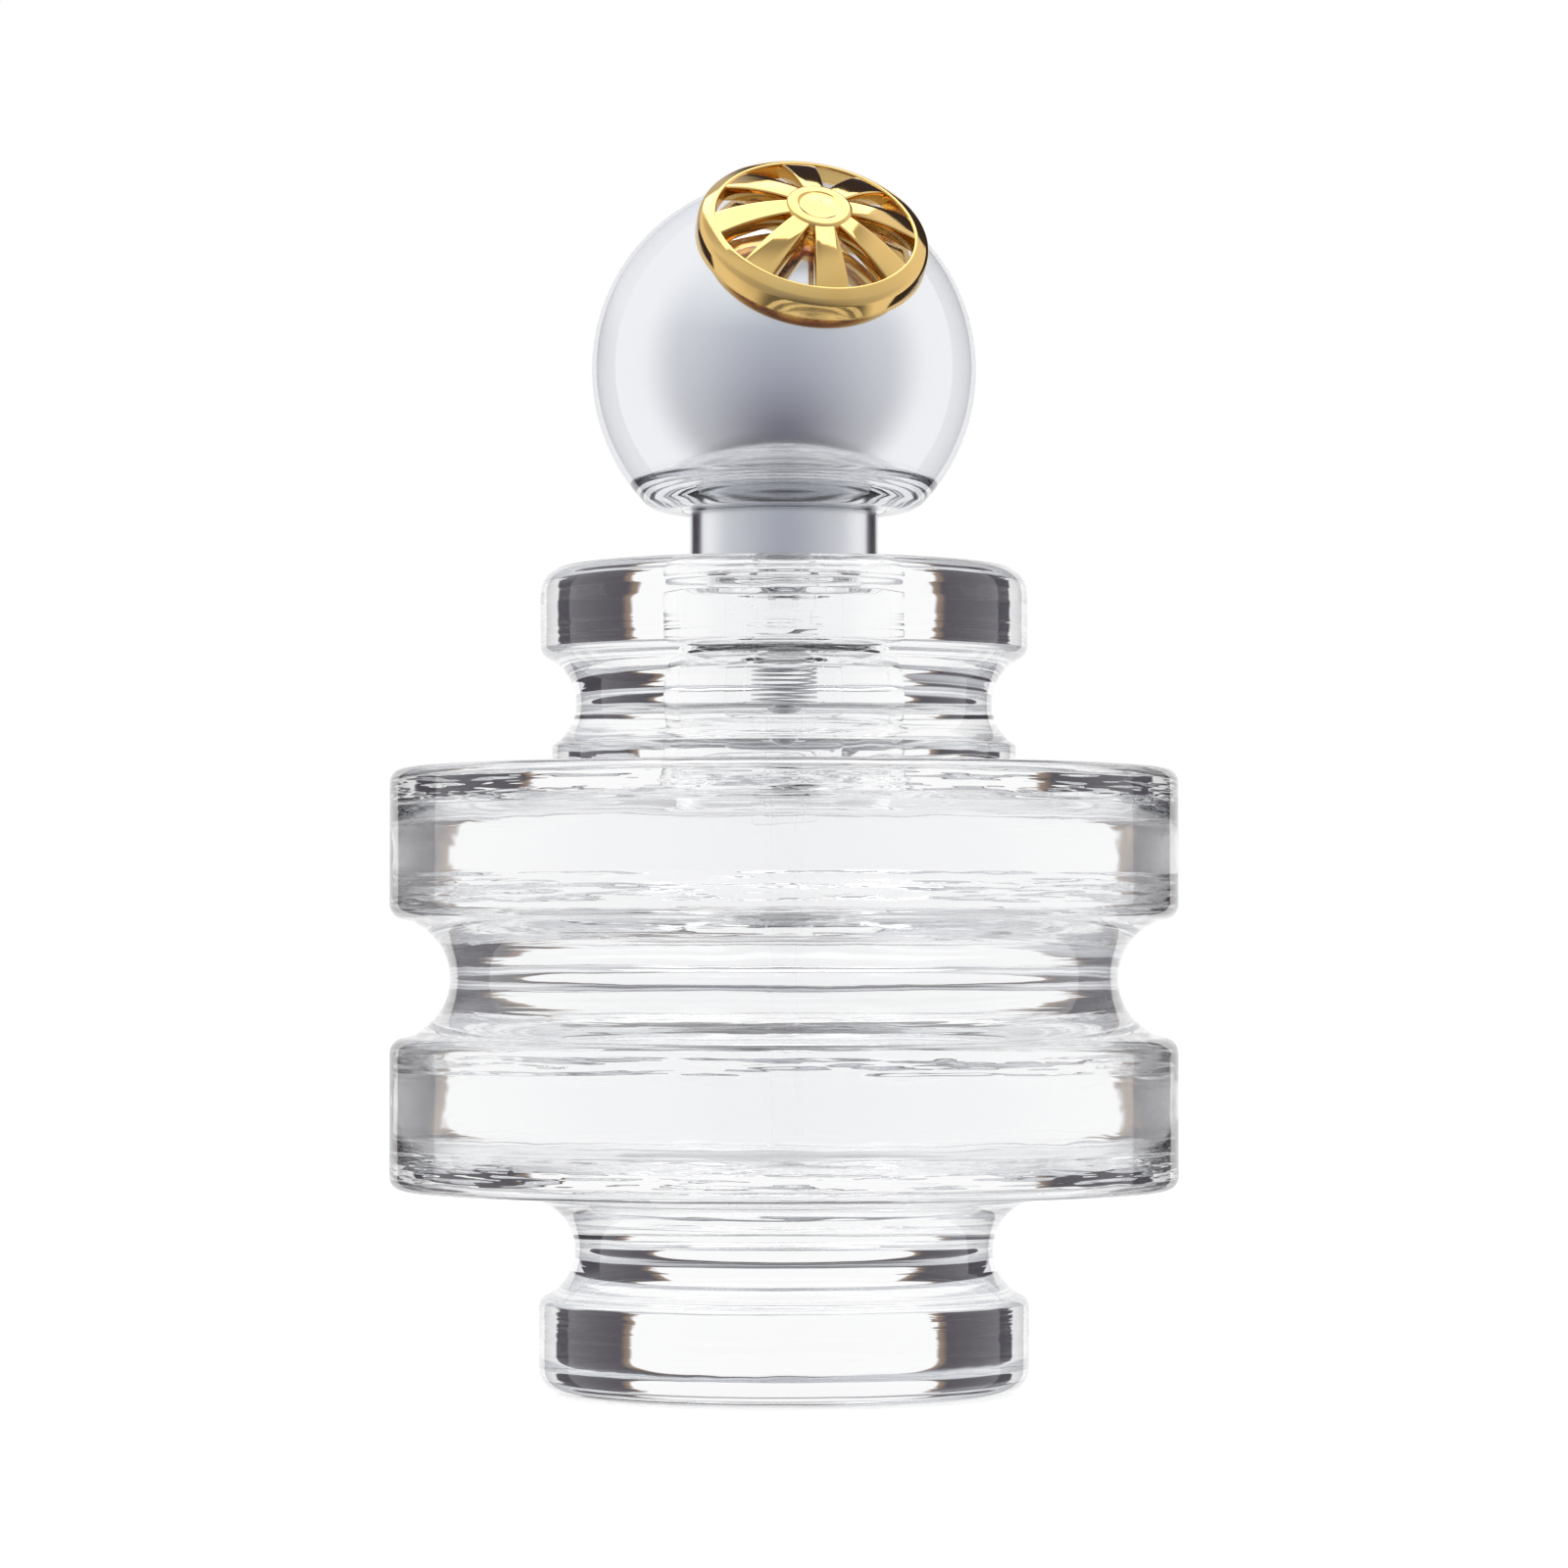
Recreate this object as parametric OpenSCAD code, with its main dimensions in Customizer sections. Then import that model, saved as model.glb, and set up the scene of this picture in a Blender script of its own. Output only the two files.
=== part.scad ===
// Perfume bottle of stacked turned glass discs, with a crimped spray pump under a ball cap.
// Origin: centre of the foot's underside. +Z runs up the axis and the spray leaves along -Y.

/* [Glass bottle] */
// Radius of the two large discs
disc_r = 37.5; // [36:0.5:44]
// Height of the lower large disc
low_disc_h = 14.4; // [12:0.1:20]
// Height of the upper large disc
high_disc_h = 14.2; // [12:0.1:20]
// Radius of the edge roundings on the large discs
disc_round = 1.0; // [0.5:0.1:1.8]
// Radius of the concave groove between the large discs
groove_r = 5.75; // [4:0.05:6.5]
// Radius of the foot disc
foot_r = 23.3; // [21:0.1:26]
// Height of the foot disc
foot_h = 8.9; // [6:0.1:14]
// Radius of the small top disc
top_r = 23.2; // [21:0.1:26]
// Height of the small top disc
top_h = 8.4; // [6:0.1:14]
// Radius of the edge roundings on the foot and the top disc
end_round = 2.0; // [1:0.1:2.6]
// Radius of the concave waists above the foot and under the top disc
waist_r = 4.8; // [3.5:0.1:5.2]
// How far a waist's arc centre stands outside the small discs
waist_out = 1.4; // [0.8:0.1:2]
// Straight part between the lower waist and the large disc above it
low_land = 0.85; // [0.4:0.05:2]
// Straight part between the upper large disc and the waist above it
high_land = 1.5; // [1:0.05:3]
// How far that straight part stands inside the top disc's radius
land_in = 1.1; // [0.8:0.1:1.4]
// Thickness of the glass between the groove and the cavity
groove_wall = 4.25; // [3:0.05:8]
// Radius of the rounded corners inside the cavity
cavity_round = 3; // [2:0.5:5]
// How far the cavity narrows behind the groove
cavity_pinch = 1.2; // [0.5:0.1:2]
// Thickness of the glass between the large disc's underside and the cavity
floor_t = 2.4; // [2:0.1:5]
// Thickness of the glass between the cavity and the large disc's upper face
roof_t = 2.6; // [2:0.1:5]
// Radius of the throat around the pump
throat_r = 7.5; // [6.5:0.1:8.2]
// Level of the liquid above the upper large disc
fill_above = 16; // [0:0.5:17]

/* [Neck] */
// Radius of the neck's bead
bead_r = 7.5; // [7.4:0.05:7.6]
// Height of the neck's bead
bead_h = 3.4; // [3:0.1:4]
// How far the neck is cut in below its bead
bead_step = 1.0; // [0.8:0.1:1.2]
// Height of the neck from the top disc to the bead
neck_h = 3.1; // [3:0.1:5]
// Clearance around the pump in the neck's bore
pump_gap = 0.6; // [0.4:0.05:0.8]
// Depth of the neck's narrow bore
neck_bore_h = 8; // [6:0.5:12]

/* [Pump] */
// Thickness of the neck gasket
gasket_t = 1.0; // [0.6:0.1:1.5]
// Radius of the bore that the piston runs in
piston_bore_r = 2.8; // [2.7:0.05:3.1]
// Wall of the pump housing around the closure plug
housing_wall = 0.85; // [0.6:0.05:1]
// Thickness of the housing's flange
flange_t = 1.0; // [0.8:0.1:1.5]
// Wall of the aluminium crimp ferrule
ferrule_t = 0.4; // [0.3:0.05:0.5]
// Height of the ferrule's turret
turret_h = 3.0; // [2.5:0.1:4]
// Radius of the closure plug in the turret
turret_plug_r = 3.95; // [3.8:0.05:4.1]
// How far the closure plug is wider than the piston's bore
plug_step = 0.5; // [0.3:0.05:0.6]
// Length of the closure plug in the housing
plug_h = 5.0; // [4:0.1:6]
// Radius of the stem
stem_r = 1.6; // [1.5:0.05:1.7]
// Stroke of the pump
stroke = 4.5; // [3:0.1:5]
// Radius of the stem's shaft inside the piston
shaft_r = 1.1; // [1:0.05:1.2]
// Length of the piston
piston_h = 3.5; // [3:0.1:4.5]
// How far the piston slips up the stem to open the port
piston_slip = 0.8; // [0.5:0.1:1]
// Length of the precompression spring when pressed
small_spring_min = 2.0; // [1.8:0.1:3]
// Wire thickness of the precompression spring
small_wire = 0.3; // [0.2:0.05:0.35]
// Length of the return spring when pressed
spring_min = 4.0; // [4:0.1:6]
// Wire thickness of the return spring
spring_wire = 0.42; // [0.3:0.02:0.44]
// Turns of the return spring
spring_turns = 7; // [5:1:8]
// Radius of the inlet ball
ball_r = 1.2; // [1.1:0.05:1.3]
// Lift of the inlet ball
ball_lift = 0.8; // [0.5:0.1:1]
// Outer radius of the dip tube
tube_r = 1.25; // [1.1:0.05:1.35]
// Wall of the dip tube
tube_wall = 0.4; // [0.3:0.05:0.5]
// Gap between the dip tube's lowest point and the cavity's floor
tube_end_gap = 1.0; // [0.5:0.1:3]

/* [Spray button] */
// Outer radius of the button
button_r = 6.25; // [6:0.05:6.3]
// Height of the button
button_h = 9.8; // [9.6:0.1:12]
// Rounding of the button's top edge
button_round = 0.9; // [0.6:0.1:1.5]
// Thickness of the button's aluminium sheath
sheath_t = 0.3; // [0.2:0.05:0.4]
// Radius of the spray insert
insert_r = 2.0; // [1.8:0.05:2.2]
// Length of the spray insert
insert_h = 2.3; // [2:0.1:2.8]
// Radius of the spray orifice
orifice_r = 0.15; // [0.1:0.01:0.2]

/* [Collar] */
// Wall of the plastic liner that holds the collar on the ferrule
liner_t = 0.61; // [0.5:0.01:1]
// Height of the collar's visible ring
collar_h = 5.1; // [4.6:0.1:7]
// How far the collar steps in where the cap slides on
collar_step = 0.4; // [0.4:0.05:0.5]
// How far the collar stands above the ferrule
collar_over = 2.0; // [1.5:0.1:3]
// Wall of the collar
collar_t = 0.4; // [0.3:0.05:0.45]

/* [Ball cap] */
// Radius of the clear ball
cap_r = 18.35; // [18:0.05:24]
// Radius of the ball where its flat base cuts it
cap_base_r = 12.4; // [12:0.1:14]
// Rounding of the edge around the flat base
cap_round = 1.2; // [0.6:0.1:1.6]
// Thickness of the clear layer over the silver core
cap_clear_t = 2.15; // [1.8:0.05:3]
// Thickness of the clear layer under the silver core
cap_foot_t = 3.4; // [2.5:0.1:4]
// Wall of the silver core
core_t = 1.4; // [1:0.1:2]
// Wall of the inner sleeve
sleeve_t = 1.0; // [0.8:0.1:1.2]
// Space between the button's top and the sleeve's roof
cap_headroom = 1.5; // [1:0.1:3]

/* [Ornament] */
// Radius of the ornament
orn_r = 11; // [9:0.5:12]
// How far the ornament stands out of the ball
orn_t = 1.7; // [1:0.1:2]
// Width of the ornament's outer ring
orn_ring_w = 1.6; // [1:0.1:2]
// Radius of the ornament's centre boss
orn_boss_r = 3.2; // [2.5:0.1:4]
// Number of rays
orn_rays = 8; // [6:1:10]
// Lean of the ornament away from straight up
orn_tilt = 44.4; // [35:0.1:60]
// Turn of the ornament around the axis, from the front towards the right
orn_turn = 13.9; // [0:0.1:45]
// Radius of the two pins that hold the ornament
orn_pin_r = 0.6; // [0.4:0.1:0.8]
// Length of the ornament's pins in the ball
orn_pin_h = 1.2; // [0.8:0.1:1.5]

/* [Fits] */
// Radial clearance where one piece slides or turns in another
run_gap = 0.05; // [0.03:0.01:0.08]
// Clearance between pieces that are pressed or moulded together
seat_gap = 0.02; // [0.01:0.01:0.04]
// Gap under a moving piece at the end of its stroke
stop_gap = 0.3; // [0.2:0.05:0.5]

/* [Hidden] */
$fn = 96;
// Extra length that lets a cut run past the face it opens
over = 1;

// Glass levels
low_waist_z = foot_h + sqrt(pow(waist_r, 2) - pow(waist_out, 2));
low_disc_z = low_waist_z + waist_r + low_land;
groove_reach = sqrt(pow(groove_r, 2) - pow(disc_round, 2));
groove_z = low_disc_z + low_disc_h + groove_reach;
high_disc_z = groove_z + groove_reach;
high_disc_top = high_disc_z + high_disc_h;
high_waist_z = high_disc_top + high_land + waist_r;
top_disc_z = high_waist_z + sqrt(pow(waist_r, 2) - pow(waist_out, 2));
glass_top = top_disc_z + top_h;
cavity_r = disc_r - groove_r - groove_wall;
cavity_z = low_disc_z + floor_t;
cavity_top = high_disc_top - roof_t;
// Height over which the cavity narrows at each end of the groove
pinch_slope = 3.3;
pinch_low = groove_z - groove_r;
pinch_high = groove_z + groove_r;
fill_z = high_disc_top + fill_above;
bead_z = glass_top + neck_h;
neck_top = bead_z + bead_h;
neck_r = bead_r - bead_step;
bead_round = 0.8;
foot_top_round = 0.4;
top_low_round = 0.6;

// Pump levels and radii, from the neck down and up
plug_r = piston_bore_r + plug_step;
housing_r = plug_r + housing_wall;
neck_bore_r = housing_r + pump_gap;
flange_z = neck_top + gasket_t;
flange_top = flange_z + flange_t;
ferrule_top = flange_top + ferrule_t;
turret_top = ferrule_top + turret_h;
ferrule_r = bead_r + run_gap + ferrule_t;
crimp_h = 0.6;
crimp_gap = 0.2;
stem_hole_gap = 0.4;
plug_z = flange_top - plug_h;
stem_gasket_t = 1.0;
stem_gasket_z = plug_z - stem_gasket_t;
stem_flange_h = 1.1;
stem_flange_r = 2.4;
stem_flange_top = stem_gasket_z - seat_gap;
stem_flange_z = stem_flange_top - stem_flange_h;
small_spring_h = small_spring_min + piston_slip;
piston_top = stem_flange_z - small_spring_h;
piston_z = piston_top - piston_h;
stem_head_h = 1.0;
stem_head_r = 1.9;
stem_head_z = piston_z - seat_gap - stem_head_h;
spring_h = spring_min + stroke;
spring_z = stem_head_z - spring_h;
ball_slack = 0.3;
seat_slack = 0.1;
ball_room_r = ball_r + ball_slack;
ball_room_h = ball_r + ball_lift + ball_slack + seat_slack;
ball_seat_z = spring_z - ball_room_h;
inlet_r = 0.9;
inlet_h = 1.6;
tube_top = ball_seat_z - inlet_h;
nipple_h = 6;
nipple_wall = 0.95;
nipple_r = tube_r + seat_gap + nipple_wall;
nipple_z = tube_top - nipple_h;
housing_z = ball_seat_z - nipple_wall;
ball_z = ball_seat_z + sqrt(pow(ball_r + seat_gap, 2) - pow(inlet_r, 2));
channel_r = 0.6;
port_r = 0.3;
piston_wall = 0.3;
lip_h = 0.6;
lip_inset = 0.2;
spring_slack = 0.4;
small_spring_slack = 0.3;
small_spring_turns = 4;
tube_slant = 40;

// Button levels
button_z = ferrule_top + stroke + stop_gap;
button_top = button_z + button_h;
body_inset = 0.4;
socket_z = turret_top + stroke + stop_gap + ferrule_t;
stem_grip = 3.1;
stem_top = socket_z + stem_grip;
channel_roof = 0.5;
insert_z = stem_top + channel_r + channel_roof;
insert_wall = 0.5;
rim_round = 0.1;
button_well_r = turret_plug_r + run_gap + ferrule_t + 2 * stop_gap;

// Collar and cap levels
stand_gap = 0.1;
collar_z = glass_top + stand_gap;
collar_ring_top = collar_z + collar_h;
collar_top = ferrule_top + collar_over;
collar_r = ferrule_r + liner_t + collar_t + 2 * seat_gap;
step_r = collar_r - collar_step;
collar_mouth_gap = 0.45;
collar_mouth_r = button_r + collar_mouth_gap;
liner_hook_gap = 0.4;
cap_z = collar_ring_top + stand_gap;
cap_base_drop = sqrt(pow(cap_r, 2) - pow(cap_base_r, 2));
ball_centre_z = cap_z + cap_base_drop;
core_r = cap_r - cap_clear_t;
core_z = cap_z + cap_foot_t;
sleeve_in_r = step_r + run_gap;
sleeve_r = sleeve_in_r + sleeve_t;
sleeve_roof_z = button_top + cap_headroom;
sleeve_roof_t = 1.2;

// Ornament details
ray_start_w = 1.9;
ray_end_w = 3.4;
ray_start_r = orn_boss_r * 0.8;
orn_pin_place_r = orn_r - orn_ring_w / 2;

// A band of the half profile: out to radius r, from z0 to z1
module band(r, z0, z1) {
    translate([0, z0])
        square([r, z1 - z0]);
}

// A ring section of the half profile: from radius r0 to r1, from z0 to z1
module ring(r0, r1, z0, z1) {
    translate([r0, z0])
        square([r1 - r0, z1 - z0]);
}

// A turned disc's half profile, with its lower and upper edges rounded
module turned_disc(r, z0, z1, low_round, high_round) {
    band(r, z0 + low_round, z1 - high_round);
    band(r - low_round, z0, z0 + low_round);
    band(r - high_round, z1 - high_round, z1);
    translate([r - low_round, z0 + low_round])
        circle(low_round);
    translate([r - high_round, z1 - high_round])
        circle(high_round);
}

// A tapered ray, w0 wide at radius r0 and w1 wide at radius r1
module ray(r0, r1, w0, w1) {
    polygon([[r0, -w0 / 2], [r1, -w1 / 2], [r1, w1 / 2], [r0, w0 / 2]]);
}

// Closed coil of round wire: rings of points along a helix, joined side by side
module coil(mean_r, wire, height, turns) {
    sides = 8;
    per_turn = 20;
    rings = turns * per_turn;
    rise = height - wire;
    points = [for (i = [0 : rings], k = [0 : sides - 1])
        let (a = 360 * i / per_turn, b = 360 * k / sides, r = mean_r + wire / 2 * cos(b))
        [r * cos(a), r * sin(a), wire / 2 + rise * i / rings + wire / 2 * sin(b)]];
    sleeves = [for (i = [0 : rings - 1], k = [0 : sides - 1])
        let (n = (k + 1) % sides)
        [i * sides + k, (i + 1) * sides + k, (i + 1) * sides + n, i * sides + n]];
    first = [for (k = [0 : sides - 1]) k];
    last = [for (k = [sides - 1 : -1 : 0]) rings * sides + k];
    polyhedron(points, concat(sleeves, [first, last]));
}

// The cavity's half profile, up to the top of the throat
module cavity_profile() {
    difference() {
        turned_disc(cavity_r, cavity_z, cavity_top, cavity_round, cavity_round);
        polygon([
            [cavity_r, pinch_low - pinch_slope],
            [cavity_r + over, pinch_low - pinch_slope],
            [cavity_r + over, pinch_high + pinch_slope],
            [cavity_r, pinch_high + pinch_slope],
            [cavity_r - cavity_pinch, pinch_high],
            [cavity_r - cavity_pinch, pinch_low]
        ]);
    }
    band(throat_r, cavity_top - over, neck_top - neck_bore_h);
}

// The pump housing's outer half profile below the flange, with the dip tube under it
module pump_outline() {
    band(housing_r, housing_z, flange_z);
    band(nipple_r, nipple_z, housing_z);
    band(tube_r, cavity_z + tube_end_gap, nipple_z);
}

module glass_bottle() {
    color("white", 0.4)
    rotate_extrude()
    difference() {
        union() {
            turned_disc(foot_r, 0, foot_h, end_round, foot_top_round);
            difference() {
                band(foot_r + waist_out, foot_h - over, low_disc_z + over);
                translate([foot_r + waist_out, low_waist_z])
                    circle(waist_r);
                ring(foot_r - foot_top_round, disc_r, foot_h - 2 * over, foot_h);
            }
            turned_disc(disc_r, low_disc_z, low_disc_z + low_disc_h, disc_round, disc_round);
            difference() {
                band(disc_r - disc_round, groove_z - groove_r, groove_z + groove_r);
                translate([disc_r, groove_z])
                    circle(groove_r);
            }
            turned_disc(disc_r, high_disc_z, high_disc_top, disc_round, disc_round);
            difference() {
                band(top_r - land_in, high_disc_top - over, high_waist_z);
                translate([top_r + waist_out, high_waist_z])
                    circle(waist_r);
            }
            difference() {
                band(top_r - top_low_round, high_waist_z - over, top_disc_z + over);
                translate([top_r + waist_out, high_waist_z])
                    circle(waist_r);
            }
            turned_disc(top_r, top_disc_z, glass_top, top_low_round, end_round);
            band(neck_r, glass_top - over, bead_z + over);
            turned_disc(bead_r, bead_z, neck_top, bead_round, bead_round);
        }
        cavity_profile();
        band(neck_bore_r, neck_top - neck_bore_h - over, neck_top + over);
    }
}

module fragrance_liquid() {
    color("lightcyan", 0.5)
    rotate_extrude()
    difference() {
        cavity_profile();
        band(cavity_r, fill_z, glass_top);
        pump_outline();
    }
}

module neck_gasket() {
    color("dimgray")
    rotate_extrude()
        ring(housing_r + run_gap, bead_r, neck_top, flange_z);
}

module crimp_ferrule() {
    in_r = ferrule_r - ferrule_t;
    turret_r = turret_plug_r + run_gap;
    color("silver")
    rotate_extrude() {
        ring(in_r, ferrule_r, bead_z - crimp_h, ferrule_top);
        ring(neck_r + crimp_gap, ferrule_r, bead_z - crimp_h, bead_z - seat_gap);
        ring(turret_r, ferrule_r, flange_top, ferrule_top);
        ring(turret_r, turret_r + ferrule_t, flange_top, turret_top);
        ring(stem_r + stem_hole_gap, turret_r + ferrule_t, turret_top - ferrule_t, turret_top);
    }
}

module pump_housing() {
    color("whitesmoke")
    rotate_extrude()
    difference() {
        union() {
            band(bead_r - seat_gap, flange_z, flange_top);
            band(housing_r, housing_z, flange_top);
            band(nipple_r, nipple_z, ball_seat_z);
        }
        band(plug_r + seat_gap, stem_gasket_z, flange_top + over);
        band(piston_bore_r, spring_z, flange_top);
        band(ball_room_r, ball_seat_z, spring_z + over);
        band(inlet_r, tube_top - over, ball_seat_z + over);
        band(tube_r + seat_gap, nipple_z - over, tube_top);
    }
}

module pump_closure() {
    color("white")
    rotate_extrude() {
        ring(stem_r + run_gap, plug_r, plug_z, flange_top);
        ring(stem_r + run_gap, turret_plug_r, flange_top, turret_top - ferrule_t - seat_gap);
    }
}

module stem_gasket() {
    color("dimgray")
    rotate_extrude()
        ring(stem_r + run_gap, plug_r, stem_gasket_z, plug_z);
}

module pump_stem() {
    color("white")
    difference() {
        rotate_extrude() {
            band(stem_r, stem_flange_z, stem_top);
            band(stem_flange_r, stem_flange_z, stem_flange_top);
            band(shaft_r, stem_head_z, stem_flange_z);
            band(stem_head_r, stem_head_z, stem_head_z + stem_head_h);
        }
        translate([0, 0, piston_z + channel_r])
            cylinder(r = channel_r, h = stem_top - piston_z);
        translate([0, 0, piston_z + 2 * channel_r])
        rotate([0, 90, 0])
            cylinder(r = port_r, h = 2 * stem_r, center = true);
    }
}

module pump_piston() {
    lip_r = piston_bore_r - run_gap;
    color("ivory")
    rotate_extrude() {
        ring(shaft_r + run_gap, stem_head_r + piston_wall, piston_z, piston_top);
        ring(shaft_r + run_gap, lip_r, piston_z + lip_inset, piston_z + lip_inset + lip_h);
        ring(shaft_r + run_gap, lip_r, piston_top - lip_inset - lip_h, piston_top - lip_inset);
    }
}

module precompression_spring() {
    color("silver")
    translate([0, 0, piston_top])
        coil(shaft_r + small_spring_slack + small_wire, small_wire, small_spring_h, small_spring_turns);
}

module return_spring() {
    color("silver")
    translate([0, 0, spring_z])
        coil(piston_bore_r - spring_slack - spring_wire / 2, spring_wire, spring_h, spring_turns);
}

module inlet_ball() {
    color("silver")
    translate([0, 0, ball_z])
        sphere(ball_r);
}

module dip_tube() {
    bottom = cavity_z + tube_end_gap;
    color("white", 0.5)
    difference() {
        rotate_extrude()
            ring(tube_r - tube_wall, tube_r, bottom, tube_top - seat_gap);
        // the slanted end that keeps the floor from closing it
        translate([0, 0, bottom])
        rotate([0, -tube_slant, 0])
        translate([0, 0, -2 * tube_r])
            cube([8 * tube_r, 4 * tube_r, 4 * tube_r], center = true);
    }
}

module button_body() {
    low = button_z + body_inset;
    body_r = button_r - sheath_t - seat_gap;
    body_round = button_round - sheath_t;
    color("whitesmoke")
    difference() {
        rotate_extrude()
            turned_disc(body_r, low, button_top - sheath_t - seat_gap, rim_round, body_round);
        translate([0, 0, low - over])
            cylinder(r = button_well_r, h = socket_z - low + over);
        translate([0, 0, socket_z - over])
            cylinder(r = stem_r + run_gap, h = stem_top - socket_z + over + seat_gap);
        translate([0, 0, stem_top - over])
            cylinder(r = channel_r, h = insert_z - stem_top + over);
        translate([0, 0, insert_z])
        rotate([90, 0, 0])
            cylinder(r = channel_r, h = body_r);
        translate([0, 0, insert_z])
        rotate([90, 0, 0])
        translate([0, 0, button_r - insert_h - seat_gap])
            cylinder(r = insert_r + seat_gap, h = insert_h + over);
    }
}

module button_sheath() {
    inner_round = button_round - sheath_t;
    color("silver")
    difference() {
        rotate_extrude()
        difference() {
            turned_disc(button_r, button_z, button_top, rim_round, button_round);
            turned_disc(button_r - sheath_t, button_z - over, button_top - sheath_t, rim_round, inner_round);
        }
        translate([0, 0, insert_z])
        rotate([90, 0, 0])
            cylinder(r = insert_r + 3 * seat_gap, h = button_r + over);
    }
}

module spray_insert() {
    color("white")
    translate([0, 0, insert_z])
    rotate([90, 0, 0])
    difference() {
        translate([0, 0, button_r - insert_h])
            cylinder(r = insert_r, h = insert_h);
        translate([0, 0, button_r - insert_h - over])
            cylinder(r = insert_r - insert_wall, h = insert_h - insert_wall + over);
        cylinder(r = orifice_r, h = button_r + over);
    }
}

module neck_collar() {
    color("silver")
    rotate_extrude() {
        ring(collar_r - collar_t, collar_r, collar_z, collar_ring_top);
        ring(step_r - collar_t, collar_r, collar_ring_top - collar_t, collar_ring_top);
        ring(step_r - collar_t, step_r, collar_ring_top - collar_t, collar_top);
        ring(collar_mouth_r, step_r, collar_top - collar_t, collar_top);
    }
}

module collar_liner() {
    out_r = collar_r - collar_t - seat_gap;
    hook_top = bead_z - crimp_h - seat_gap;
    color("whitesmoke")
    rotate_extrude() {
        ring(ferrule_r + seat_gap, out_r, collar_z, collar_ring_top - collar_t - seat_gap);
        ring(neck_r + liner_hook_gap, out_r, collar_z, hook_top);
    }
}

// The clear ball's half profile, cut flat at its base with a rounded edge
module ball_profile() {
    round_z = cap_base_drop - cap_round;
    round_r = sqrt(pow(cap_r - cap_round, 2) - pow(round_z, 2));
    // height at which the rounding meets the ball
    meet_z = -round_z * cap_r / (cap_r - cap_round);
    translate([0, ball_centre_z]) {
        intersection() {
            circle(cap_r);
            band(cap_r, meet_z, cap_r);
        }
        band(round_r, -cap_base_drop, meet_z);
        translate([round_r, -round_z])
            circle(cap_round);
    }
}

// A truncated ball's half profile, of radius r and cut flat at height z
module cut_ball(r, z) {
    intersection() {
        translate([0, ball_centre_z])
            circle(r);
        band(r, z, ball_centre_z + r);
    }
}

// Places what follows on the ball where the ornament sits, with +Z out of the ball
module at_ornament() {
    translate([0, 0, ball_centre_z])
    rotate([0, 0, orn_turn])
    rotate([orn_tilt, 0, 0])
        children();
}

// The ornament's two pins, of radius r, from depth h in the ball outwards
module ornament_pins(r, h) {
    for (side = [-1, 1])
        translate([side * orn_pin_place_r, 0, pin_floor(h)])
            cylinder(r = r, h = h + orn_t / 2);
}

// Height of a pin's inner end, measured from the ball's centre
function pin_floor(h) = sqrt(pow(cap_r, 2) - pow(orn_pin_place_r, 2)) - h;

module cap_shell() {
    color("white", 0.4)
    difference() {
        rotate_extrude()
        difference() {
            intersection() {
                ball_profile();
                band(cap_r, cap_z, ball_centre_z + cap_r);
            }
            cut_ball(core_r + seat_gap, core_z - seat_gap);
            band(sleeve_r + seat_gap, cap_z - over, core_z + over);
        }
        at_ornament()
            ornament_pins(orn_pin_r + seat_gap, orn_pin_h + seat_gap);
    }
}

module cap_core() {
    color("silver")
    rotate_extrude()
    difference() {
        cut_ball(core_r, core_z);
        cut_ball(core_r - core_t, core_z + core_t);
        band(sleeve_r + seat_gap, core_z - over, core_z + 2 * core_t);
    }
}

module cap_sleeve() {
    color("silver")
    rotate_extrude() {
        ring(sleeve_in_r, sleeve_r, cap_z, sleeve_roof_z);
        band(sleeve_r, sleeve_roof_z, sleeve_roof_z + sleeve_roof_t);
    }
}

module ornament() {
    color("gold")
    at_ornament() {
        intersection() {
            difference() {
                sphere(cap_r + orn_t);
                sphere(cap_r + seat_gap);
            }
            linear_extrude(cap_r + 2 * orn_t)
            union() {
                difference() {
                    circle(orn_r);
                    circle(orn_r - orn_ring_w);
                }
                circle(orn_boss_r);
                for (i = [0 : orn_rays - 1])
                    rotate(360 * i / orn_rays)
                        ray(ray_start_r, orn_pin_place_r, ray_start_w, ray_end_w);
            }
        }
        ornament_pins(orn_pin_r, orn_pin_h);
    }
}

glass_bottle();
fragrance_liquid();
neck_gasket();
crimp_ferrule();
pump_housing();
pump_closure();
stem_gasket();
pump_stem();
pump_piston();
precompression_spring();
return_spring();
inlet_ball();
dip_tube();
button_body();
button_sheath();
spray_insert();
neck_collar();
collar_liner();
cap_shell();
cap_core();
cap_sleeve();
ornament();
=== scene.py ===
"""Looks of a perfume bottle of stacked turned glass discs, with a spray pump under a ball cap.

Each sub-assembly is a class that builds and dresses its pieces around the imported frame. Turned pieces
are half outlines in millimetres, revolved about the bottle's axis by one geometry-node tree, and every
finished mesh stands in the frame's metres with its object at the origin.
"""

from __future__ import annotations

import logging
import math
from collections.abc import Callable, Iterable, Iterator
from contextlib import contextmanager
from dataclasses import dataclass, field
from enum import Enum
from typing import ClassVar

import bmesh
import bpy
from mathutils import Matrix, Vector

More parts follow.
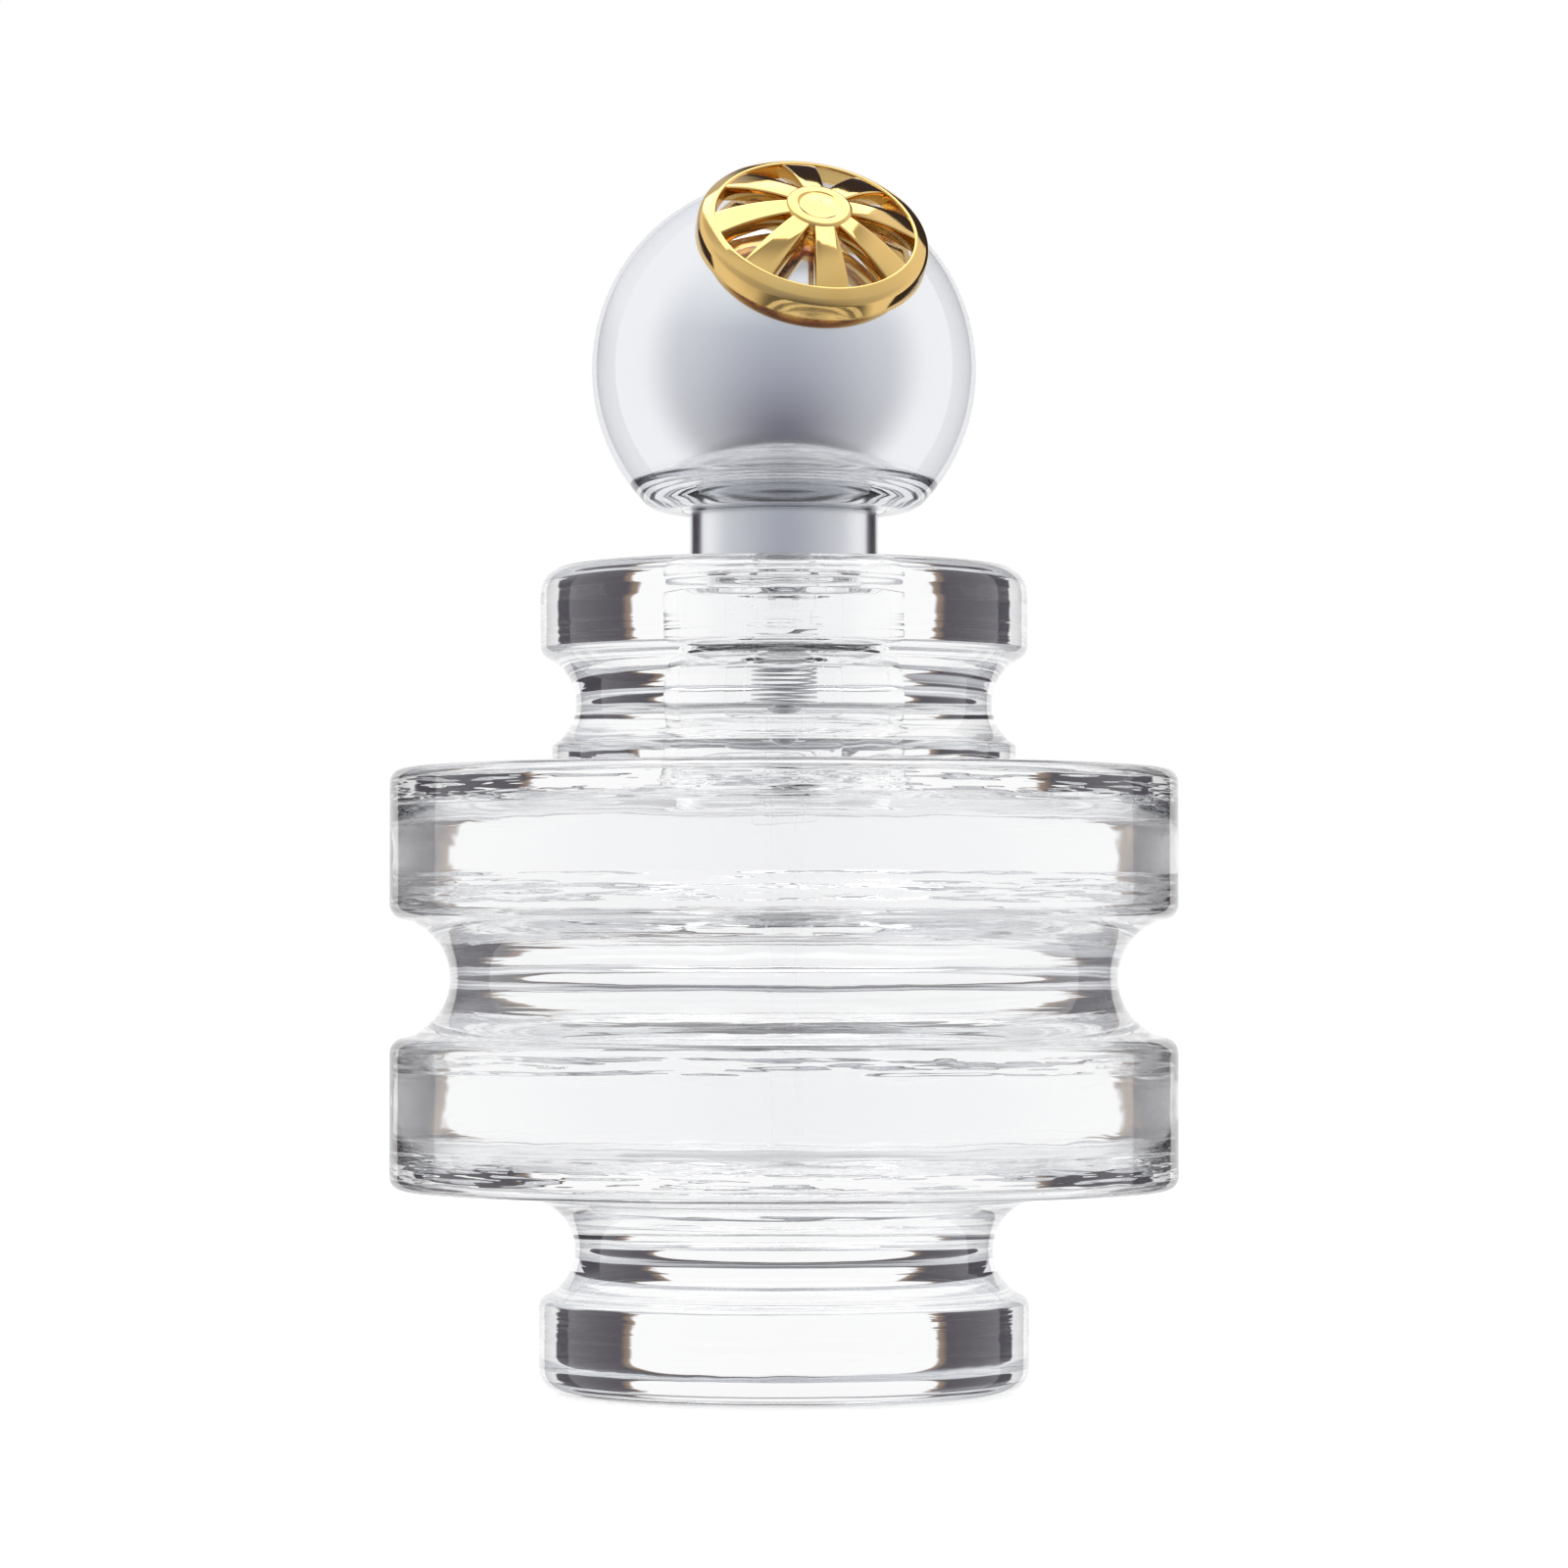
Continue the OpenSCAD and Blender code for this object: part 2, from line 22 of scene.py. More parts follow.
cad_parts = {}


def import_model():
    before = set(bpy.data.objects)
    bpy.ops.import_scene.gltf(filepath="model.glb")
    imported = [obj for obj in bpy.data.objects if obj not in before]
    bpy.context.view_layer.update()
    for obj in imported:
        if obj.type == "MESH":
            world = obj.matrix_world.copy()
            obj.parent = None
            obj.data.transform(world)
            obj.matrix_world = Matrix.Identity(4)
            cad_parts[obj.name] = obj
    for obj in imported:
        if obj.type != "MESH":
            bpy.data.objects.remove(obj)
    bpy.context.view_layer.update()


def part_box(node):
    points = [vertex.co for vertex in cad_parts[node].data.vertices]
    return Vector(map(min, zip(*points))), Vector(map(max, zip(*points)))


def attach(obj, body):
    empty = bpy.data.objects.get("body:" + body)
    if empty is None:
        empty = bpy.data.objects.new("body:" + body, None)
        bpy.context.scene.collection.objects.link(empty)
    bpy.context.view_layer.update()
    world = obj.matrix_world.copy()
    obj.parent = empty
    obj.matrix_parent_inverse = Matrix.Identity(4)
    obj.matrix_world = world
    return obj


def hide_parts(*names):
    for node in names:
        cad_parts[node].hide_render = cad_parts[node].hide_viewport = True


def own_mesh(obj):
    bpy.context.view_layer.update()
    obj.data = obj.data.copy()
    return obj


LOG = logging.getLogger("perfume_bottle")
MM = 0.001
Point = tuple[float, float]
Colour = tuple[float, float, float]


# ---------------------------------------------------------------- node trees


def _operator(operation: str, swapped: bool = False) -> Callable[["Val", "Val | float"], "Val"]:
    """Makes an operator for number sockets.

    Args:
        operation: the Math node's operation.
        swapped: whether the other value comes first.

    Returns:
        A method that adds one Math node.
    """

    def method(self: "Val", other: "Val | float") -> "Val":
        """Adds the Math node on both values."""
        return self.tree.math(operation, *((other, self) if swapped else (self, other)))

    return method


class Val:
    """A number socket that builds Math nodes when it is used in an expression."""

    def __init__(self, tree: "Tree", socket: bpy.types.NodeSocket) -> None:
        """Wraps a socket of a tree."""
        self.tree = tree
        self.socket = socket

    __add__ = __radd__ = _operator("ADD")
    __sub__ = _operator("SUBTRACT")
    __rsub__ = _operator("SUBTRACT", swapped=True)
    __mul__ = __rmul__ = _operator("MULTIPLY")
    __truediv__ = _operator("DIVIDE")
    __rtruediv__ = _operator("DIVIDE", swapped=True)

    def __abs__(self) -> "Val":
        """The size of self without its sign."""
        return self.tree.math("ABSOLUTE", self)


class Tree:
    """A node tree with one method that makes any node."""

    def __init__(self, tree: bpy.types.NodeTree) -> None:
        """Wraps a material's, a world's or a geometry tree."""
        self.tree = tree

    def node(self, kind: str, values: dict | None = None, **settings: object) -> bpy.types.Node:
        """Makes a node.

        Args:
            kind: the node's type name.
            values: what each input gets, by name or index: a Val, a socket or a plain value.
            **settings: properties of the node, set before its inputs; `stops` fills a colour ramp.

        Returns:
            The new node.
        """
        made = self.tree.nodes.new(kind)
        stops = settings.pop("stops", None)
        for name, value in settings.items():
            setattr(made, name, value)
        if stops:
            ramp = made.color_ramp
            while len(ramp.elements) > 1:
                ramp.elements.remove(ramp.elements[-1])
            ramp.elements[0].position, ramp.elements[0].color = stops[0]
            for place, colour in stops[1:]:
                ramp.elements.new(place).color = colour
        for name, value in (values or {}).items():
            self.feed(made.inputs[name], value)
        return made

    def feed(self, socket: bpy.types.NodeSocket, value: object) -> None:
        """Links a Val or socket to an input, or sets the input's own value."""
        if isinstance(value, Val):
            self.tree.links.new(value.socket, socket)
        elif isinstance(value, bpy.types.NodeSocket):
            self.tree.links.new(value, socket)
        else:
            socket.default_value = value

    def value(self, node: bpy.types.Node, output: str | int = 0) -> Val:
        """One output of a node as a Val."""
        return Val(self, node.outputs[output])

    def math(self, operation: str, *values: Val | float) -> Val:
        """A Math node on one to three values."""
        return self.value(self.node("ShaderNodeMath", dict(enumerate(values)), operation=operation))

    def smooth(self, value: Val, low: float, high: float) -> Val:
        """0 below low, 1 above high and a smooth rise between them."""
        fields = {"Value": value, "From Min": low, "From Max": high, "To Min": 0.0, "To Max": 1.0}
        return self.value(self.node("ShaderNodeMapRange", fields, interpolation_type="SMOOTHSTEP"))

    def mix(self, share: Val | float, first: object, second: object) -> bpy.types.NodeSocket:
        """A colour between first and second."""
        made = self.node("ShaderNodeMix", {0: share, 6: first, 7: second}, data_type="RGBA")
        return made.outputs[2]

    def vector(self, x: Val | float, y: Val | float, z: Val | float) -> bpy.types.NodeSocket:
        """A vector from three numbers."""
        return self.node("ShaderNodeCombineXYZ", {0: x, 1: y, 2: z}).outputs[0]


def rgba(colour: Colour, share: float = 1.0) -> tuple[float, float, float, float]:
    """A colour, darkened to a share of itself, with full alpha."""
    return (*(share * part for part in colour), 1.0)


# ---------------------------------------------------------------- finishes


class Surface(Tree):
    """The tree of a material with one Principled shader on Object coordinates."""

    def __init__(self, name: str, **uniform: object) -> None:
        """Makes the material and sets the shader's uniform sockets.

        Args:
            name: the material's name.
            **uniform: socket values by name, with spaces as underscores.
        """
        self.material = bpy.data.materials.new(name)
        self.material.use_nodes = True
        super().__init__(self.material.node_tree)
        self.tree.nodes.clear()
        self.shader = self.node("ShaderNodeBsdfPrincipled")
        for socket, value in uniform.items():
            self.shader.inputs[socket.replace("_", " ")].default_value = value
        self.node("ShaderNodeOutputMaterial", {"Surface": self.shader.outputs[0]})
        self.place = self.node("ShaderNodeTexCoord").outputs["Object"]
        parts = self.node("ShaderNodeSeparateXYZ", {0: self.place})
        self.x, self.y, self.z = (self.value(parts, i) for i in range(3))

    def radius(self) -> Val:
        """Distance from the bottle's axis."""
        return self.math("SQRT", self.x * self.x + self.y * self.y)

    def noise(self, size: float, detail: float = 2.0, place: object = None) -> Val:
        """Noise from 0 to 1 whose features are about `size` metres across."""
        fields = {"Vector": place or self.place, "Scale": 1.0 / size, "Detail": detail}
        return self.value(self.node("ShaderNodeTexNoise", fields), "Fac")

    def set(self, socket: str, value: object) -> None:
        """Feeds one of the shader's varying sockets."""
        self.feed(self.shader.inputs[socket], value)

    def bump(self, height: Val, depth: float) -> None:
        """Adds relief of `depth` metres from a height between 0 and 1."""
        fields = {"Height": height, "Distance": depth}
        self.set("Normal", self.node("ShaderNodeBump", fields).outputs[0])


@dataclass(frozen=True)
class ClearMedium:
    """Glass, clear resin, clear plastic or liquid, uneven and streaked where the melt flowed."""

    name: str
    ior: float
    tint: Colour = (0.994, 0.996, 0.997)
    unevenness: float = 0.0
    feature: float = 0.006
    stretch: float = 2.2
    flows: tuple[tuple[float, float], ...] = ()
    flow_depth: float = 0.00009
    flow_size: float = 0.011
    flow_stretch: float = 12.0
    flow_fade: float = 0.0006

    def streaked(self, s: Surface, height: Val) -> Val:
        """Adds flat streaks to a height, within the levels where the melt flowed."""
        streak = s.noise(self.flow_size, 1.6, s.vector(s.x, s.y, s.z * self.flow_stretch)) * self.flow_depth
        for start, end in self.flows:
            rise = s.smooth(s.z, start, start + self.flow_fade)
            height = height + rise * (1 - s.smooth(s.z, end - self.flow_fade, end)) * streak
        return height

    def material(self) -> bpy.types.Material:
        """Builds the material."""
        s = Surface(self.name, IOR=self.ior, Transmission_Weight=1.0, Roughness=0.0)
        s.set("Base Color", s.mix(s.noise(0.02), rgba(self.tint), rgba(self.tint, 0.997)))
        if self.unevenness > 0:
            height = s.noise(self.feature, 1.5, s.vector(s.x, s.y, s.z * self.stretch)) * self.unevenness
            s.bump(self.streaked(s, height) / MM, MM)
        return s.material


@dataclass(frozen=True)
class TurnedMetal:
    """Metal turned or spun about the axis, with fine rings and a slightly uneven gloss."""

    name: str
    colour: Colour
    roughness: float
    ring_depth: float = 0.0
    ring_pitch: float = 0.00012
    worn: float = 0.04

    def material(self) -> bpy.types.Material:
        """Builds the material."""
        s = Surface(self.name, Metallic=1.0)
        patch = s.noise(0.004)
        s.set("Base Color", s.mix(patch, rgba(self.colour), rgba(self.colour, 0.93)))
        rings = s.noise(self.ring_pitch, 2.0, s.vector(s.radius(), 0.0, s.z))
        s.set("Roughness", patch * self.worn + rings * self.worn + (self.roughness - self.worn))
        if self.ring_depth > 0:
            s.bump(rings, self.ring_depth)
        return s.material


@dataclass(frozen=True)
class PolishedMetal:
    """Plated or vacuum-coated metal with a hint of orange peel."""

    name: str
    colour: Colour
    deep: Colour
    roughness: float
    peel: float = 0.000003
    peel_size: float = 0.0012

    def material(self) -> bpy.types.Material:
        """Builds the material."""
        s = Surface(self.name, Metallic=1.0)
        s.set("Base Color", s.mix(s.noise(0.005), rgba(self.colour), rgba(self.deep)))
        s.set("Roughness", s.noise(0.0015) * 0.03 + self.roughness)
        s.bump(s.noise(self.peel_size), self.peel)
        return s.material


@dataclass(frozen=True)
class MouldedPlastic:
    """Moulded plastic or rubber with a fine tool texture."""

    name: str
    colour: Colour
    roughness: float
    ior: float = 1.49
    grain: float = 0.000004

    def material(self) -> bpy.types.Material:
        """Builds the material."""
        s = Surface(self.name, IOR=self.ior)
        s.set("Base Color", s.mix(s.noise(0.003), rgba(self.colour), rgba(self.colour, 0.96)))
        s.set("Roughness", s.noise(0.0006) * 0.08 + self.roughness)
        s.bump(s.noise(0.00035), self.grain)
        return s.material


FLOW_LEVELS = (
    (0.0052, 0.0092),
    (0.0188, 0.0232),
    (0.0303, 0.034),
    (0.0444, 0.0491),
    (0.0552, 0.0594),
    (0.0711, 0.0729),
)
BOTTLE_GLASS = ClearMedium("bottle_glass", 1.52, unevenness=0.00004, feature=0.007, flows=FLOW_LEVELS)
SILVER_COAT = PolishedMetal("silver_coat", (0.88, 0.89, 0.92), (0.87, 0.88, 0.91), 0.07, 0.0000004, 0.003)
POLISHED_GOLD = PolishedMetal("polished_gold", (0.84, 0.58, 0.23), (0.72, 0.46, 0.15), 0.06)
WOUND_STEEL = PolishedMetal("wound_steel", (0.62, 0.62, 0.64), (0.55, 0.55, 0.57), 0.2)


class Finish(Enum):
    """The finishes of the bottle, each with the record's slot that it belongs to."""

    GLASS = ("clear_glass", BOTTLE_GLASS)
    LIQUID = ("liquid", ClearMedium("fragrance", 1.36, (0.998, 0.998, 0.999)))
    RESIN = ("clear_resin", ClearMedium("cap_resin", 1.50, (0.99, 0.991, 0.994)))
    TUBE = ("clear_plastic", ClearMedium("tube_in_liquid", 1.01, (0.998, 0.998, 0.999)))
    SILVER = ("silver_coating", SILVER_COAT)
    GOLD = ("gold_plate", POLISHED_GOLD)
    COLLAR = ("silver_aluminium", TurnedMetal("satin_aluminium", (0.86, 0.87, 0.9), 0.22, 0.0000015))
    FERRULE = ("silver_aluminium", TurnedMetal("drawn_aluminium", (0.84, 0.85, 0.87), 0.3, 0.000001))
    STEEL = ("spring_steel", WOUND_STEEL)
    WHITE = ("white_plastic", MouldedPlastic("moulded_white", (0.88, 0.88, 0.88), 0.3))
    SLEEVE = ("silver_aluminium", TurnedMetal("sleeve_aluminium", (0.88, 0.89, 0.91), 0.16, 0.0000012))
    NATURAL = ("natural_plastic", ClearMedium("moulded_natural", 1.03, (0.997, 0.998, 0.998)))
    RUBBER = ("gasket_rubber", MouldedPlastic("soft_rubber", (0.2, 0.2, 0.21), 0.6))

    def __init__(self, slot: str, recipe: object) -> None:
        """Keeps the record's slot and the recipe."""
        self.slot = slot
        self.recipe = recipe

    def material(self) -> bpy.types.Material:
        """The finish's material, made the first time it is asked for."""
        return bpy.data.materials.get(self.recipe.name) or self.recipe.material()


# ---------------------------------------------------------------- outlines


@dataclass
class Stroke:
    """One straight or round stretch of an outline, with the rounding where it ends."""

    points: list[Point]
    blend: float


class Outline:
    """A half outline in millimetres: radius from the axis, and height."""

    SUPPORT = 0.07
    STEP = 1.2
    BEND_STEPS = 7
    PULL = 0.5523

    def __init__(self, r: float, z: float) -> None:
        """Starts the outline at a point."""
        self.start: Point = (r, z)
        self.strokes: list[Stroke] = []

    @property
    def end(self) -> Point:
        """Where the outline has got to."""
        return self.strokes[-1].points[-1] if self.strokes else self.start

    def line(self, r: float, z: float, blend: float = 0.0) -> "Outline":
        """Draws a straight stretch to a point, then a rounding of size blend."""
        a = self.end
        length = math.dist(a, (r, z))
        inner = max(1, round(length / self.STEP))
        shares = {i / inner for i in range(inner + 1)}
        if length > 4 * self.SUPPORT:
            shares |= {self.SUPPORT / length, 1 - self.SUPPORT / length}
        points = [(a[0] + (r - a[0]) * t, a[1] + (z - a[1]) * t) for t in sorted(shares)]
        self.strokes.append(Stroke(points, blend))
        return self

    def lines(self, *stops: tuple[float, ...]) -> "Outline":
        """Draws straight stretches to these points, each with the size of its rounding if it has one."""
        for stop in stops:
            self.line(*stop)
        return self

    def arc(
        self, r: float, z: float, size: float, start: float, end: float, blend: float = 0.0
    ) -> "Outline":
        """Draws a round stretch.

        Args:
            r: radius of the arc's centre from the axis.
            z: height of the arc's centre.
            size: the arc's own radius.
            start: angle where it starts, in degrees from outwards, turning upwards.
            end: angle where it ends.
            blend: size of the rounding where it ends.

        Returns:
            The outline, so that stretches can be chained.
        """
        steps = max(6, round(abs(end - start) / 3.0))
        turn = [math.radians(start + (end - start) * i / steps) for i in range(steps + 1)]
        points = [(r + size * math.cos(a), z + size * math.sin(a)) for a in turn]
        if math.dist(points[0], self.end) > 1e-4:
            self.line(*points[0])
        points[0] = self.end
        self.strokes.append(Stroke(points, blend))
        return self

    def points(self, closed: bool = False) -> list[Point]:
        """The outline's points with its roundings.

        Args:
            closed: joins the end to the start, so that the piece is a ring.

        Returns:
            Points in order.
        """
        if closed:
            self.line(*self.start)
        made: list[Point] = list(self.strokes[0].points)
        for before, after in zip(self.strokes, self.strokes[1:]):
            made = self._joined(made, after.points, before.blend)
        if closed:
            made[0] = made[-1]
        return made

    def _joined(self, made: list[Point], after: list[Point], blend: float) -> list[Point]:
        """Joins a stretch on, with a rounding of size blend in the corner."""
        if blend <= 0:
            return made + after[1:]
        corner = after[0]
        head = _trimmed(made[::-1], blend)[::-1]
        tail = _trimmed(after, blend)
        a, b = head[-1], tail[0]
        c = tuple(a[i] + (corner[i] - a[i]) * self.PULL for i in (0, 1))
        d = tuple(b[i] + (corner[i] - b[i]) * self.PULL for i in (0, 1))
        bend = []
        for k in range(1, self.BEND_STEPS):
            t = k / self.BEND_STEPS
            w = ((1 - t) ** 3, 3 * t * (1 - t) ** 2, 3 * t * t * (1 - t), t**3)
            bend.append(tuple(w[0] * a[i] + w[1] * c[i] + w[2] * d[i] + w[3] * b[i] for i in (0, 1)))
        return head + bend + tail


def _trimmed(points: list[Point], cut: float) -> list[Point]:
    """The points with the first `cut` millimetres of their length taken off."""
    for i in range(len(points) - 1):
        step = math.dist(points[i], points[i + 1])
        if cut < step:
            t = cut / step
            a, b = points[i], points[i + 1]
            return [(a[0] + (b[0] - a[0]) * t, a[1] + (b[1] - a[1]) * t), *points[i + 1 :]]
        cut -= step
    return points[-1:]


def ring_outline(r0: float, r1: float, z0: float, z1: float, blend: float = 0.05) -> Outline:
    """A ring's section with small roundings."""
    corners = ((r0, z0), (r1, z0), (r1, z1), (r0, z1))
    return Outline(r0, (z0 + z1) / 2).lines(*((r, z, blend) for r, z in corners))


# ---------------------------------------------------------------- geometry nodes


class GeometryTree(Tree):
    """A geometry-node tree with named inputs that ends in Realize Instances and Set Material."""

    def __init__(self, name: str) -> None:
        """Starts the tree with its geometry input and output."""
        super().__init__(bpy.data.node_groups.new(name, "GeometryNodeTree"))
        self.tree.is_modifier = True
        face = self.tree.interface
        face.new_socket("Geometry", in_out="INPUT", socket_type="NodeSocketGeometry")
        face.new_socket("Geometry", in_out="OUTPUT", socket_type="NodeSocketGeometry")
        self.names: dict[str, str] = {}
        self.group = None

    def inputs(self, **defaults: float | int) -> None:
        """Adds named inputs, whole numbers for ints, and one for the material."""
        for name, value in defaults.items():
            kind = "NodeSocketInt" if isinstance(value, int) else "NodeSocketFloat"
            made = self.tree.interface.new_socket(name, in_out="INPUT", socket_type=kind)
            made.default_value = value
            self.names[name] = made.identifier
        made = self.tree.interface.new_socket("finish", in_out="INPUT", socket_type="NodeSocketMaterial")
        self.names["finish"] = made.identifier
        self.group = self.node("NodeGroupInput")

    def given(self, name: str) -> Val:
        """A named input as a Val."""
        return self.value(self.group, name)

    def close(self, geometry: bpy.types.NodeSocket) -> None:
        """Ends the tree on this geometry."""
        real = self.node("GeometryNodeRealizeInstances", {0: geometry})
        finish = {"Geometry": real.outputs[0], "Material": self.group.outputs["finish"]}
        dressed = self.node("GeometryNodeSetMaterial", finish)
        self.node("NodeGroupOutput", {0: dressed.outputs[0]})

    def run(
        self, source: bpy.types.Mesh, finish: bpy.types.Material, **values: float | int
    ) -> bpy.types.Mesh:
        """Runs the tree on a mesh.

        Args:
            source: the mesh that the tree starts from.
            finish: the material it sets.
            **values: its named inputs.

        Returns:
            A plain mesh with the result.
        """
        carrier = bpy.data.objects.new("carrier", source)
        bpy.context.scene.collection.objects.link(carrier)
        modifier = carrier.modifiers.new("nodes", "NODES")
        modifier.node_group = self.tree
        modifier[self.names["finish"]] = finish
        for name, value in values.items():
            modifier[self.names[name]] = value
        graph = bpy.context.evaluated_depsgraph_get()
        made = bpy.data.meshes.new_from_object(carrier.evaluated_get(graph))
        bpy.data.objects.remove(carrier)
        return made


class Lathe(GeometryTree):
    """Revolves a row of outline points about the axis, with a gentle wave where the outline asks for it."""

    WAVE = "wave"

    def __init__(self) -> None:
        """Builds the tree."""
        super().__init__("turned_piece")
        self.inputs(segments=160, wave_height=0.0, wave_size=0.010, seed=3.0)
        outline = self.group.outputs["Geometry"]
        count = self.node("GeometryNodeAttributeDomainSize", {0: outline}).outputs["Point Count"]
        columns = self.given("segments") + 1
        grid = self.node("GeometryNodeMeshGrid", {"Vertices X": count, "Vertices Y": columns})
        index = self.value(self.node("GeometryNodeInputIndex"))
        row = self.math("FLOOR", (index + 0.5) / columns)
        angle = (index - row * columns) * (2 * math.pi) / self.given("segments")
        at = self.node("GeometryNodeInputPosition").outputs[0]
        seen = {"Geometry": outline, "Index": row}
        spot = self.node("GeometryNodeSampleIndex", {**seen, "Value": at}, data_type="FLOAT_VECTOR")
        parts = self.node("ShaderNodeSeparateXYZ", {0: spot.outputs[0]})
        radius, height = self.value(parts, 0), self.value(parts, 2)
        named = self.node("GeometryNodeInputNamedAttribute", {"Name": self.WAVE}, data_type="FLOAT")
        share = self.node("GeometryNodeSampleIndex", {**seen, "Value": named.outputs[0]}, data_type="FLOAT")
        cosine, sine = self.math("COSINE", angle), self.math("SINE", angle)
        place = self.vector(radius * cosine, radius * sine, height * 2.5)
        scale = 1 / self.given("wave_size")
        fields = {"Vector": place, "W": self.given("seed"), "Scale": scale, "Detail": 1.0}
        noise = self.value(self.node("ShaderNodeTexNoise", fields, noise_dimensions="4D"), 0)
        fields["W"] = self.given("seed") + 7.3
        second = self.value(self.node("ShaderNodeTexNoise", fields, noise_dimensions="4D"), 0)
        size = self.given("wave_height") * 2 * self.value(share)
        wide = radius + (noise - 0.5) * size
        turned = self.vector(wide * cosine, wide * sine, height + (second - 0.5) * size)
        moved = self.node("GeometryNodeSetPosition", {"Geometry": grid.outputs[0], "Position": turned})
        joined = self.node("GeometryNodeMergeByDistance", {"Geometry": moved.outputs[0], "Distance": 2e-7})
        self.close(self.node("GeometryNodeSetShadeSmooth", {0: joined.outputs[0]}).outputs[0])


class Coil(GeometryTree):
    """A round wire wound into a spring that stands on its lower end."""

    def __init__(self) -> None:
        """Builds the tree."""
        super().__init__("wound_spring")
        self.inputs(turns=6.0, radius=0.002, wire=0.0004, height=0.008)
        wire, height = self.given("wire"), self.given("height")
        radius = self.given("radius")
        fields = {"Resolution": 28, "Rotations": self.given("turns"), "Start Radius": radius}
        fields |= {"End Radius": radius, "Height": height - wire}
        spiral = self.node("GeometryNodeCurveSpiral", fields)
        ring = self.node("GeometryNodeCurvePrimitiveCircle", {"Resolution": 12, "Radius": wire / 2})
        swept = {"Curve": spiral.outputs[0], "Profile Curve": ring.outputs[0], "Fill Caps": True}
        tube = self.node("GeometryNodeCurveToMesh", swept)
        raised = {"Geometry": tube.outputs[0], "Translation": self.vector(0.0, 0.0, wire / 2)}
        lifted = self.node("GeometryNodeTransform", raised)
        self.close(self.node("GeometryNodeSetShadeSmooth", {0: lifted.outputs[0]}).outputs[0])


class Around(GeometryTree):
    """Copies of one piece at equal turns about the Z axis."""

    def __init__(self) -> None:
        """Builds the tree."""
        super().__init__("around_axis")
        self.inputs(count=12)
        points = self.node("GeometryNodePoints", {"Count": self.group.outputs["count"]})
        index = self.value(self.node("GeometryNodeInputIndex"))
        turn = self.vector(0.0, 0.0, index * (2 * math.pi) / self.given("count"))
        fields = {"Points": points.outputs[0], "Instance": self.group.outputs["Geometry"], "Rotation": turn}
        self.close(self.node("GeometryNodeInstanceOnPoints", fields).outputs[0])


class Workshop:
    """Makes pieces from outlines and meshes and hands them to the frame."""

    def __init__(self) -> None:
        """Prepares the node trees."""
        self.lathe = Lathe()
        self.coil = Coil()
        self.around = Around()

    def turned(
        self,
        outline: Outline,
        finish: Finish,
        closed: bool = False,
        segments: int = 128,
        waved: Callable[[Point], float] | None = None,
        wave_height: float = 0.0,
    ) -> bpy.types.Mesh:
        """Revolves an outline.

        Args:
            outline: the half outline in millimetres.
            finish: the finish of the piece.
            closed: whether the outline is a ring's section.
            segments: steps around the axis.
            waved: gives how much of the wave a point takes.
            wave_height: height of the wave in metres.

        Returns:
            A closed mesh in metres whose faces point outwards.
        """
        points = outline.points(closed)
        source = bpy.data.meshes.new("outline")
        source.from_pydata([(r * MM, 0.0, z * MM) for r, z in points], [], [])
        shares = source.attributes.new(Lathe.WAVE, "FLOAT", "POINT")
        shares.data.foreach_set("value", [waved(p) if waved else 0.0 for p in points])
        made = self.lathe.run(source, finish.material(), segments=segments, wave_height=wave_height)
        return outward(made)

    def piece(
        self, name: str, mesh: bpy.types.Mesh, finish: Finish, body: str, *nodes: str
    ) -> bpy.types.Object:
        """Puts a finished mesh in the scene.

        Args:
            name: the piece's name.
            mesh: its mesh, in place.
            finish: its finish.
            body: the CAD body that it rides on.
            *nodes: the CAD nodes that it stands for.

        Returns:
            The piece.
        """
        mesh.materials.clear()
        mesh.materials.append(finish.material())
        made = bpy.data.objects.new(name, mesh)
        bpy.context.scene.collection.objects.link(made)
        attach(made, body)
        if nodes:
            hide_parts(*nodes)
        LOG.info("%s: %d faces, on %s", name, len(mesh.polygons), body)
        return made


@contextmanager
def edited(mesh: bpy.types.Mesh) -> Iterator[bmesh.types.BMesh]:
    """Opens a mesh for editing and writes it back."""
    work = bmesh.new()
    work.from_mesh(mesh)
    yield work
    work.to_mesh(mesh)
    work.free()


def outward(mesh: bpy.types.Mesh) -> bpy.types.Mesh:
    """Turns a closed mesh's faces outwards if they point in."""
    with edited(mesh) as work:
        if work.calc_volume(signed=True) < 0:
            bmesh.ops.reverse_faces(work, faces=work.faces)
    return mesh


def joined(meshes: Iterable[bpy.types.Mesh], name: str) -> bpy.types.Mesh:
    """One mesh that holds several."""
    made = bpy.data.meshes.new(name)
    with edited(made) as work:
        for mesh in meshes:
            work.from_mesh(mesh)
    return made


def low(node: str) -> float:
    """Height of a CAD node's lowest point, in millimetres."""
    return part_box(node)[0].z / MM


def high(node: str) -> float:
    """Height of a CAD node's highest point, in millimetres."""
    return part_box(node)[1].z / MM


def reach(node: str) -> float:
    """A turned CAD node's outer radius, in millimetres."""
    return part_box(node)[1].x / MM


# ---------------------------------------------------------------- the bottle


